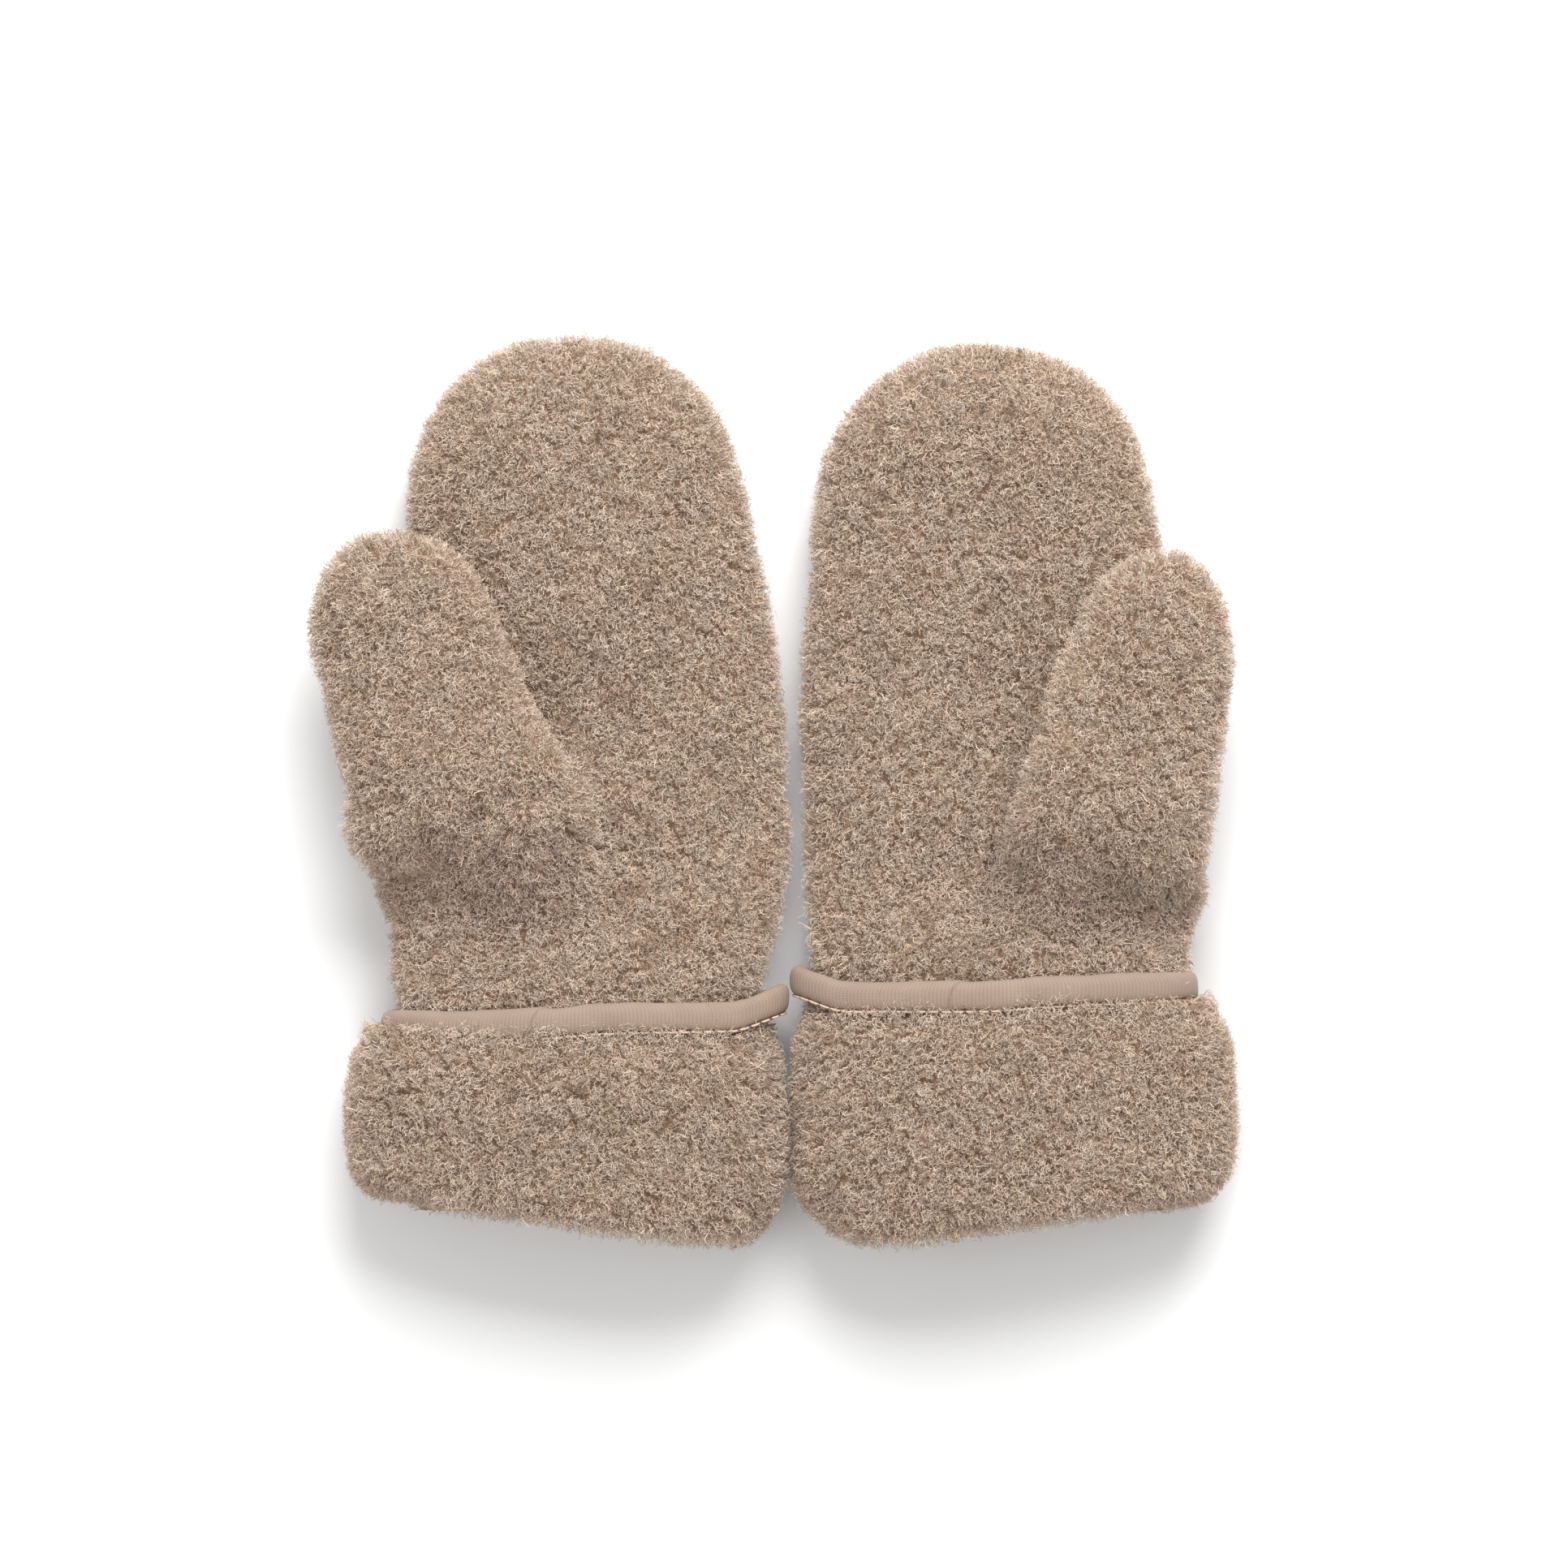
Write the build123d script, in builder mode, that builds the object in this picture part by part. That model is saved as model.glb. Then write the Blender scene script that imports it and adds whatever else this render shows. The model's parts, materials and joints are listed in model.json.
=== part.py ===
from build123d import *
import os
from dataclasses import dataclass
from math import cos, radians, sin, tan

# A pair of wool pile mittens lying on their backs, palms up and thumbs outward.
# +Y runs from the cuffs to the fingertips, +Z is up, and the pair rests on Z = 0.
# Each mitten is a fabric tube round the hand, with a thumb tube that grows out of the
# lower palm and lies over it, and a cuff that is turned back over the wrist.

os.makedirs("parts", exist_ok=True)


@dataclass(frozen=True)
class Mitten:
    """The sizes that differ between the two mittens; out is -1 or +1, towards the thumb."""

    name: str
    out: int
    cuff_edge_x: float        # the cuff's edge beside the other mitten
    sway: float
    tip_y: float
    thumb_root_offset: float
    thumb_root_y: float
    thumb_lean: float
    thumb_length: float
    thumb_root_half_width: float


LEFT = Mitten("left", -1, 3.7, 0.5, 135.0, 36.0, -3.0, 18.5, 83.5, 34.5)
RIGHT = Mitten("right", 1, 5.3, 4.0, 132.5, 38.0, -6.0, 13.0, 79.0, 32.5)

# Fabric
wall = 7.0                    # pile fabric, backing and pile together
seam_thickness = 1.2          # two raw edges sewn flat together
flat_depth = 1.0              # how far a resting tube is flattened by its own weight

# Hand tube, half sizes of its oval sections and the heights of their centres
finger_half_width = 53.5
palm_half_width = 57.5
heel_half_width = 59.0
wrist_half_width = 52.5
hand_half_height = 14.5
wrist_half_height = 13.0
hand_mid_z = hand_half_height - flat_depth
tip_dome_y = 70.0             # where the rounded finger end begins
palm_y = 20.0
heel_y = -12.0
wrist_y = -58.0
tube_end_y = -150.0           # past every cut of the cuff
dome_turns = (24.0, 46.0, 64.0, 78.0)

# Panels and folds
panel_join_y = 10.0           # where the finger panel is sewn to the lower palm
fold_y = 84.0                 # where the fingers fold over
fold_gap = 0.5

# Thumb tube
thumb_half_width = 27.3
thumb_half_height = 12.0
thumb_root_z = 38.4
thumb_pitch = 4.6             # the thumb droops towards its tip
thumb_roll = 9.0              # and leans over the palm's outer edge
thumb_dome_length = 31.0
thumb_neck = 17.0             # where the wide root has narrowed
stub_length = 56.0            # from the root of the thumb down into the wrist
stub_end_half_width = 25.0
stub_end_half_height = 9.5
stub_mid_half_width = 32.0
stub_mid_rise = 0.52          # share of the climb that is done half way
passage_drop = 3.0            # the hollow dips so that it opens well into the hand's hollow

# Turned-back cuff
layer_gap = 0.5
cuff_play = 4.5               # how loosely the flap lies round the wrist, across
cuff_height_play = 1.5
cuff_half_width = wrist_half_width + layer_gap + wall + cuff_play
cuff_half_height = wrist_half_height + layer_gap + wall + cuff_height_play
cuff_shift = 3.8              # the cuff flares towards the thumb side
cuff_mid_y = -124.0           # the folded lower edge, at the middle of the cuff
cuff_tilt = 8.7
cuff_waist_y = -86.0          # above here the binding draws the cuff in
cuff_mid_z = cuff_half_height - flat_depth

# Binding
binding_top_y = -61.0
binding_width = 11.5
tape = 1.2
tape_gap = 0.3
lip_thickness = 3.0           # the flap's raw edge, squeezed inside the tape
lip_cover = 2.0               # tape past the end of the lip
stitch_radius = 0.3
stitch_length = 2.7
stitch_count = 72
stitch_inset = 1.6

binding_bottom_y = binding_top_y - binding_width
tape_inner_width = wrist_half_width + layer_gap
tape_inner_height = wrist_half_height + layer_gap
lip_inner_width = tape_inner_width + tape + tape_gap
lip_inner_height = tape_inner_height + tape + tape_gap
lip_outer_width = lip_inner_width + lip_thickness
lip_outer_height = lip_inner_height + lip_thickness
tape_outer_width = lip_outer_width + tape_gap + tape
tape_outer_height = lip_outer_height + tape_gap + tape
far = 400.0


def oval(x, y, z, half_width, half_height):
    """One upright oval section that faces along +Y."""
    return Plane(origin=(x, y, z), x_dir=(1, 0, 0), z_dir=(0, 1, 0)), half_width, half_height


def oval_tube(sections):
    """A closed solid through a row of oval sections."""
    with BuildPart() as tube:
        for plane, half_width, half_height in sections:
            with BuildSketch(plane):
                Ellipse(half_width, half_height)
        loft()
    return tube.part


def slab(low_offset, high_offset):
    """What lies between the seam line moved down by one offset and up by the other."""
    line = [(-far, cuff_mid_z), (wrist_y, cuff_mid_z), (heel_y, hand_mid_z), (far, hand_mid_z)]
    low = [(y, z + low_offset) for y, z in line]
    high = [(y, z + high_offset) for y, z in reversed(line)]
    with BuildPart() as solid:
        with BuildSketch(Plane.YZ):
            with BuildLine():
                Polyline(*low, *high, close=True)
            make_face()
        extrude(amount=far, both=True)
    return solid.part


back_side = slab(-far, -seam_thickness / 2)
seam_side = slab(-seam_thickness / 2, seam_thickness / 2)
palm_side = slab(seam_thickness / 2, far)


def wrist_x(mitten):
    """Where the wrist's middle lies, from the cuff's edge beside the other mitten."""
    return mitten.cuff_edge_x + mitten.out * (cuff_half_width - cuff_shift)


def centre_x(mitten):
    """Where the middle of the fingers lies; the hand sways in from the wrist."""
    return wrist_x(mitten) - mitten.out * mitten.sway


def hand_tube(mitten, inset):
    """The hand tube's outer solid, or its hollow when inset by the wall."""
    x = centre_x(mitten)
    low_x = wrist_x(mitten)
    height = hand_half_height - inset
    width = finger_half_width - inset
    dome = mitten.tip_y - tip_dome_y - inset
    sections = [
        oval(low_x, wrist_y, cuff_mid_z, wrist_half_width - inset, wrist_half_height - inset),
        oval(low_x, heel_y, hand_mid_z, heel_half_width - inset, height),
        oval((x + low_x) / 2, palm_y, hand_mid_z, palm_half_width - inset, height),
        oval(x, tip_dome_y, hand_mid_z, width, height),
    ]
    for turn in dome_turns:
        y = tip_dome_y + dome * sin(radians(turn))
        shrink = cos(radians(turn))
        sections.append(oval(x, y, hand_mid_z, width * shrink, height * shrink))
    hand = oval_tube(sections)
    with BuildPart() as tube:
        add(hand)
        with BuildSketch(sections[0][0]):
            Ellipse(wrist_half_width - inset, wrist_half_height - inset)
        extrude(amount=tube_end_y - wrist_y)
    return tube.part


def thumb_axes(mitten):
    """Directions of the thumb in plan: along it, and across it towards the palm."""
    lean = radians(mitten.thumb_lean)
    along = Vector(mitten.out * sin(lean), cos(lean), 0)
    across = Vector(-mitten.out * cos(lean), sin(lean), 0)
    return along, across


def thumb_root(mitten, z):
    """The middle of the thumb's root, at a given height."""
    x = centre_x(mitten) + mitten.out * mitten.thumb_root_offset
    return Vector(x, mitten.thumb_root_y, z)


def thumb_section(mitten, reach, z, half_width, half_height):
    """One oval section of the thumb, at a distance from its root and rolled outward."""
    along, across = thumb_axes(mitten)
    root = thumb_root(mitten, z)
    roll = radians(thumb_roll)
    x_dir = across * cos(roll) + Vector(0, 0, sin(roll))
    return Plane(origin=root + along * reach, x_dir=x_dir, z_dir=along), half_width, half_height


def thumb_z(reach):
    """Height of the thumb's centre line at a distance from its root."""
    return thumb_root_z - reach * tan(radians(thumb_pitch))


def thumb_tube(mitten, inset):
    """The thumb past its root, or its hollow when inset by the wall."""
    height = thumb_half_height - inset
    width = thumb_half_width - inset
    dome_start = mitten.thumb_length - thumb_dome_length
    dome = thumb_dome_length - inset
    root_width = mitten.thumb_root_half_width - inset
    neck_width = 0.5 * (root_width + width)
    sections = [
        thumb_section(mitten, 0, thumb_z(0), root_width, height),
        thumb_section(mitten, thumb_neck, thumb_z(thumb_neck), neck_width, height),
        thumb_section(mitten, dome_start, thumb_z(dome_start), width, height),
    ]
    for turn in dome_turns:
        reach = dome_start + dome * sin(radians(turn))
        shrink = cos(radians(turn))
        sections.append(thumb_section(mitten, reach, thumb_z(reach), width * shrink, height * shrink))
    return oval_tube(sections)


def thumb_stub(mitten, inset):
    """The base of the thumb, which climbs out of the lower palm up to the root."""
    low_z = cuff_mid_z - stub_end_half_height + inset / 2
    mid_z = low_z + (thumb_root_z - low_z) * stub_mid_rise - passage_drop * inset / wall
    return oval_tube([
        thumb_section(
            mitten, -stub_length, low_z, stub_end_half_width - inset, stub_end_half_height - inset
        ),
        thumb_section(
            mitten, -stub_length / 2, mid_z, stub_mid_half_width - inset, thumb_half_height - inset
        ),
        thumb_section(
            mitten, 0, thumb_z(0), mitten.thumb_root_half_width - inset, thumb_half_height - inset
        ),
    ])


def cuff_fold(mitten, lift):
    """The tilted plane of the folded lower edge, raised along the tube."""
    tilt = radians(cuff_tilt)
    x = wrist_x(mitten) + mitten.out * cuff_shift
    return Plane(origin=(x, cuff_mid_y + lift, 0), z_dir=(-mitten.out * sin(tilt), cos(tilt), 0))


def cuff_tube(mitten, outer):
    """The turned-back flap's outer solid, or the space inside it."""
    x = wrist_x(mitten)
    flare_x = x + mitten.out * cuff_shift
    inset = 0 if outer else wall
    neck_width = lip_outer_width if outer else lip_inner_width
    neck_height = lip_outer_height if outer else lip_inner_height
    flare = (cuff_half_width - inset, cuff_half_height - inset)
    return oval_tube([
        oval(flare_x, tube_end_y, cuff_mid_z, *flare),
        oval(flare_x, cuff_mid_y, cuff_mid_z, *flare),
        oval(flare_x, cuff_waist_y, cuff_mid_z, *flare),
        oval(x, binding_bottom_y, cuff_mid_z, neck_width, neck_height),
    ])


def ring(x, low_y, high_y, inner, outer):
    """A straight oval ring between two heights along the tube."""
    with BuildPart() as band:
        with BuildSketch(Plane(origin=(x, low_y, cuff_mid_z), x_dir=(1, 0, 0), z_dir=(0, 1, 0))):
            Ellipse(*outer)
            Ellipse(*inner, mode=Mode.SUBTRACT)
        extrude(amount=high_y - low_y)
    return band.part


def make_mitten(mitten):
    """Every piece of one mitten, by name."""
    x = wrist_x(mitten)
    outer_hand = hand_tube(mitten, 0)
    hand_hollow = hand_tube(mitten, wall)
    outer_thumb = thumb_tube(mitten, 0)
    thumb_hollow = thumb_tube(mitten, wall)
    outer_stub = thumb_stub(mitten, 0)
    stub_hollow = thumb_stub(mitten, wall)
    outer_cuff = cuff_tube(mitten, True)
    cuff_space = cuff_tube(mitten, False)
    made = {}

    with BuildPart() as hand_shell:
        add(outer_hand)
        add(hand_hollow, mode=Mode.SUBTRACT)
        split(bisect_by=Plane.XY, keep=Keep.TOP)
        split(bisect_by=cuff_fold(mitten, wall + layer_gap), keep=Keep.TOP)
    below_fold = Plane(origin=(x, fold_y - fold_gap / 2, 0), z_dir=(0, -1, 0))
    above_fold = Plane(origin=(x, fold_y + fold_gap / 2, 0), z_dir=(0, 1, 0))
    finger_start = Plane(origin=(x, panel_join_y, 0), z_dir=(0, 1, 0))
    palm_end = Plane(origin=(x, panel_join_y, 0), z_dir=(0, -1, 0))

    with BuildPart() as back_panel:
        add(hand_shell.part)
        add(back_side, mode=Mode.INTERSECT)
        split(bisect_by=below_fold, keep=Keep.TOP)
    made["back_panel"] = back_panel

    with BuildPart() as hand_seam:
        add(hand_shell.part)
        add(seam_side, mode=Mode.INTERSECT)
        split(bisect_by=below_fold, keep=Keep.TOP)
    made["hand_seam"] = hand_seam

    with BuildPart() as finger_panel:
        add(hand_shell.part)
        add(palm_side, mode=Mode.INTERSECT)
        split(bisect_by=below_fold, keep=Keep.TOP)
        split(bisect_by=finger_start, keep=Keep.TOP)
    made["finger_panel"] = finger_panel

    along, across = thumb_axes(mitten)
    root = thumb_root(mitten, thumb_root_z)
    stub_end = Plane(origin=root - along * (fold_gap / 2), z_dir=-along)
    with BuildPart() as palm_panel:
        add(hand_shell.part)
        split(bisect_by=palm_end, keep=Keep.TOP)
        add(outer_stub)
        add(palm_side, mode=Mode.INTERSECT)
        add(hand_hollow, mode=Mode.SUBTRACT)
        add(stub_hollow, mode=Mode.SUBTRACT)
        split(bisect_by=stub_end, keep=Keep.TOP)
        split(bisect_by=palm_end, keep=Keep.TOP)
    made["palm_panel"] = palm_panel

    for name, side in (("back", back_side), ("seam", seam_side), ("palm", palm_side)):
        with BuildPart() as fingertip:
            add(hand_shell.part)
            add(side, mode=Mode.INTERSECT)
            split(bisect_by=above_fold, keep=Keep.TOP)
        made["fingertip_" + name] = fingertip

    roll = radians(thumb_roll)
    pitch = radians(thumb_pitch)
    axis = along * cos(pitch) - Vector(0, 0, sin(pitch))
    rolled = across * cos(roll) + Vector(0, 0, sin(roll))
    up = rolled.cross(axis).normalized()
    if up.Z < 0:
        up = -up
    half_seam = up * (seam_thickness / 2)
    thumb_start = Plane(origin=root + along * (fold_gap / 2), z_dir=along)
    with BuildPart() as thumb_shell:
        add(outer_thumb)
        add(thumb_hollow, mode=Mode.SUBTRACT)
        split(bisect_by=thumb_start, keep=Keep.TOP)

    with BuildPart() as thumb_front:
        add(thumb_shell.part)
        split(bisect_by=Plane(origin=root + half_seam, z_dir=up), keep=Keep.TOP)
    made["thumb_front"] = thumb_front

    with BuildPart() as thumb_back:
        add(thumb_shell.part)
        split(bisect_by=Plane(origin=root - half_seam, z_dir=-up), keep=Keep.TOP)
    made["thumb_back"] = thumb_back

    with BuildPart() as thumb_seam:
        add(thumb_shell.part)
        split(bisect_by=Plane(origin=root + half_seam, z_dir=-up), keep=Keep.TOP)
        split(bisect_by=Plane(origin=root - half_seam, z_dir=up), keep=Keep.TOP)
    made["thumb_seam"] = thumb_seam

    # The flap is one tube round the wrist, closed under the inner layer by its fold.
    with BuildPart() as inner_space:
        add(cuff_space)
        split(bisect_by=cuff_fold(mitten, wall), keep=Keep.TOP)
    mouth = ring_fill(x)
    lip = ring(
        x, binding_bottom_y, binding_top_y - tape - lip_cover,
        (lip_inner_width, lip_inner_height), (lip_outer_width, lip_outer_height),
    )
    with BuildPart() as flap:
        add(outer_cuff)
        add(inner_space.part, mode=Mode.SUBTRACT)
        add(mouth, mode=Mode.SUBTRACT)
        split(bisect_by=Plane.XY, keep=Keep.TOP)
        split(bisect_by=cuff_fold(mitten, 0), keep=Keep.TOP)
        add(lip)
    for name, side in (("back", back_side), ("seam", seam_side), ("palm", palm_side)):
        with BuildPart() as cuff:
            add(flap.part)
            add(side, mode=Mode.INTERSECT)
        made["cuff_" + name] = cuff

    channel = ring(
        x, binding_bottom_y, binding_top_y - tape,
        (lip_inner_width - tape_gap, lip_inner_height - tape_gap),
        (lip_outer_width + tape_gap, lip_outer_height + tape_gap),
    )
    with BuildPart() as binding:
        add(ring(
            x, binding_bottom_y + tape_gap, binding_top_y,
            (tape_inner_width, tape_inner_height), (tape_outer_width, tape_outer_height),
        ))
        add(channel, mode=Mode.SUBTRACT)
    made["binding"] = binding

    stitch_plane = Plane(
        origin=(x, binding_bottom_y + stitch_inset, cuff_mid_z), x_dir=(1, 0, 0), z_dir=(0, 1, 0)
    )
    stitch_line = Edge.make_ellipse(tape_outer_width, tape_outer_height, plane=stitch_plane)
    places = stitch_line.locations([i / stitch_count for i in range(stitch_count)])
    with BuildPart() as topstitch:
        with Locations(*places):
            Cylinder(stitch_radius, stitch_length)
    made["topstitch"] = topstitch
    return made


def ring_fill(x):
    """The mouth of the mitten, as wide as the hollow of the wrist."""
    with BuildPart() as mouth:
        with BuildSketch(Plane(origin=(x, wrist_y, cuff_mid_z), x_dir=(1, 0, 0), z_dir=(0, 1, 0))):
            Ellipse(wrist_half_width - wall, wrist_half_height - wall)
        extrude(amount=tube_end_y - wrist_y)
    return mouth.part


pieces = {}
for mitten in (LEFT, RIGHT):
    for name, piece in make_mitten(mitten).items():
        pieces[mitten.name + "_" + name] = piece

# The origin is under the middle of the pair.
boxes = [piece.part.bounding_box() for piece in pieces.values()]
middle_x = (min(box.min.X for box in boxes) + max(box.max.X for box in boxes)) / 2
middle_y = (min(box.min.Y for box in boxes) + max(box.max.Y for box in boxes)) / 2
print(f"middle of the pair: {middle_x:.3f}, {middle_y:.3f}")
print(f"height: {min(box.min.Z for box in boxes):.3f} to {max(box.max.Z for box in boxes):.3f}")

for name, piece in pieces.items():
    piece.part.move(Location((-middle_x, -middle_y, 0)))
    piece.part.label = name
    export_step(piece.part, f"parts/{name}.step")
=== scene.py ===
"""A pair of wool pile mittens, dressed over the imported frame.

Each mitten has a hand tube, a thumb tube, a turned-back cuff and a jersey binding. Every pile
surface is a knitted ground with raised tufts and a coat of curly wool locks grown out of it.
"""
import json
import logging
import math
from dataclasses import dataclass
from enum import Enum
from typing import Callable, Sequence

import bpy
import numpy as np
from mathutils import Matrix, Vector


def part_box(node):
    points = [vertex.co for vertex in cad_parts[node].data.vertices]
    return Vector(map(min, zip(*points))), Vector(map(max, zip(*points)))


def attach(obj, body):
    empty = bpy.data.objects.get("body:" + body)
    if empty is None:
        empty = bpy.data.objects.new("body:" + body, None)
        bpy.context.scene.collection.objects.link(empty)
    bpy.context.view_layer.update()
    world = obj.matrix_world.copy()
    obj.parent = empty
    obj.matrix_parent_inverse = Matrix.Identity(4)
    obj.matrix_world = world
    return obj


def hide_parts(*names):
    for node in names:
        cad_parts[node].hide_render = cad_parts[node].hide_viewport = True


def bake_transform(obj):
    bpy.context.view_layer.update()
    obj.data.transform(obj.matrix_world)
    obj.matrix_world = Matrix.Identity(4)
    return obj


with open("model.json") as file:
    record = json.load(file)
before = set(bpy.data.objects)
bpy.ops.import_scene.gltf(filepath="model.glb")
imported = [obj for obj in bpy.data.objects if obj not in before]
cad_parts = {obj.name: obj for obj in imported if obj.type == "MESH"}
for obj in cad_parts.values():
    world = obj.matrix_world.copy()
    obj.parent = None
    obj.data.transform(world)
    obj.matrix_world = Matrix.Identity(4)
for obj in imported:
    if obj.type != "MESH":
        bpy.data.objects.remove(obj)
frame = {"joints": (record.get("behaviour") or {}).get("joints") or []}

LOG = logging.getLogger("mittens")
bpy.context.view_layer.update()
MM = 0.001
Array = np.ndarray


# --------------------------------------------------------------------------- node building
class Socket:
    """One output of a shader graph, with arithmetic that adds Math nodes."""

    def __init__(self, graph: "Graph", link: bpy.types.NodeSocket) -> None:
        """Keeps the graph and the output socket."""
        self.graph = graph
        self.link = link

    def _math(self, operation: str, first: object, second: object) -> "Socket":
        """Adds one Math node over two values."""
        return self.graph.add("ShaderNodeMath", {"operation": operation}, {0: first, 1: second})

    def __add__(self, other: object) -> "Socket":
        """self + other."""
        return self._math("ADD", self, other)

    def __radd__(self, other: object) -> "Socket":
        """other + self."""
        return self._math("ADD", other, self)

    def __sub__(self, other: object) -> "Socket":
        """self - other."""
        return self._math("SUBTRACT", self, other)

    def __rsub__(self, other: object) -> "Socket":
        """other - self."""
        return self._math("SUBTRACT", other, self)

    def __mul__(self, other: object) -> "Socket":
        """self * other."""
        return self._math("MULTIPLY", self, other)

    def __rmul__(self, other: object) -> "Socket":
        """other * self."""
        return self._math("MULTIPLY", other, self)

    def power(self, exponent: float) -> "Socket":
        """self raised to a fixed exponent."""
        return self._math("POWER", self, exponent)

    def sine(self) -> "Socket":
        """Sine of the value, in radians."""
        return self._math("SINE", self, 0.0)

    def clamp(self) -> "Socket":
        """The value held between 0 and 1."""
        return self.graph.add("ShaderNodeClamp", {}, {"Value": self})


class Graph:
    """A material's node tree, filled by one method."""

    def __init__(self, name: str) -> None:
        """Makes a material with one Principled shader.

        Args:
            name: the material's name.
        """
        self.material = bpy.data.materials.new(name)
        self.material.use_nodes = True
        self.tree = self.material.node_tree
        self.shader = self.tree.nodes["Principled BSDF"]

    def add(self, kind: str, settings: dict, inputs: dict, output: object = 0) -> Socket:
        """Adds one node.

        Args:
            kind: the node's type.
            settings: properties that are set first; "stops" fills a colour ramp.
            inputs: socket name or number to a value or a Socket.
            output: the output that is returned.

        Returns:
            The chosen output as a Socket.
        """
        node = self.tree.nodes.new(kind)
        for key, value in settings.items():
            if key == "stops":
                self._fill_ramp(node.color_ramp, value)
            else:
                setattr(node, key, value)
        for key, value in inputs.items():
            self.feed(node.inputs[key], value)
        return Socket(self, node.outputs[output])

    @staticmethod
    def _fill_ramp(ramp: bpy.types.ColorRamp, stops: Sequence[tuple]) -> None:
        """Writes (position, colour) stops into a colour ramp."""
        while len(ramp.elements) < len(stops):
            ramp.elements.new(1.0)
        for element, (position, colour) in zip(ramp.elements, stops):
            element.position = position
            element.color = (*colour, 1.0)

    def feed(self, socket: bpy.types.NodeSocket, value: object) -> None:
        """Links a Socket to an input, or sets the input's own value."""
        if isinstance(value, Socket):
            self.tree.links.new(value.link, socket)
        else:
            socket.default_value = value

    def dress(self, **values: object) -> None:
        """Sets or links inputs of the Principled shader; underscores stand for spaces."""
        for name, value in values.items():
            self.feed(self.shader.inputs[name.replace("_", " ")], value)

    def rest_place(self) -> Socket:
        """The point's place at rest, so that a pattern stays on the fabric when it moves."""
        return self.add("ShaderNodeAttribute", {"attribute_name": "rest_place"}, {}, "Vector")

    def point_value(self, name: str) -> Socket:
        """A number that the mesh stores at each vertex."""
        return self.add("ShaderNodeAttribute", {"attribute_name": name}, {}, "Fac")

    def shift(self, place: Socket, offset: float) -> Socket:
        """A place moved far off, so that two patterns differ."""
        away = (offset, offset, offset)
        return self.add("ShaderNodeVectorMath", {"operation": "ADD"}, {0: place, 1: away})

    def noise(self, place: Socket, scale: float, detail: float = 2.0, rough: float = 0.5) -> Socket:
        """Fractal noise over the fabric, as a number."""
        values = {"Vector": place, "Scale": scale, "Detail": detail, "Roughness": rough}
        return self.add("ShaderNodeTexNoise", {}, values, "Fac")

    def ramp(self, factor: Socket, stops: Sequence[tuple]) -> Socket:
        """A colour ramp over a factor."""
        return self.add("ShaderNodeValToRGB", {"stops": stops}, {"Fac": factor}, "Color")

    def mix(self, factor: object, first: object, second: object, blend: str = "MIX") -> Socket:
        """Mixes two colours."""
        settings = {"data_type": "RGBA", "blend_type": blend}
        return self.add("ShaderNodeMix", settings, {0: factor, 6: first, 7: second}, 2)

    def bump(self, height: Socket, strength: float, distance: float) -> Socket:
        """A Bump node over a height."""
        values = {"Height": height, "Strength": strength, "Distance": distance}
        return self.add("ShaderNodeBump", {}, values, "Normal")


Colour = tuple[float, float, float]


def linear(red: int, green: int, blue: int) -> Colour:
    """A display colour of 0 to 255 as linear values."""
    out = []
    for level in (red, green, blue):
        share = level / 255.0
        out.append(share / 12.92 if share <= 0.04045 else ((share + 0.055) / 1.055) ** 2.4)
    return (out[0], out[1], out[2])


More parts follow.
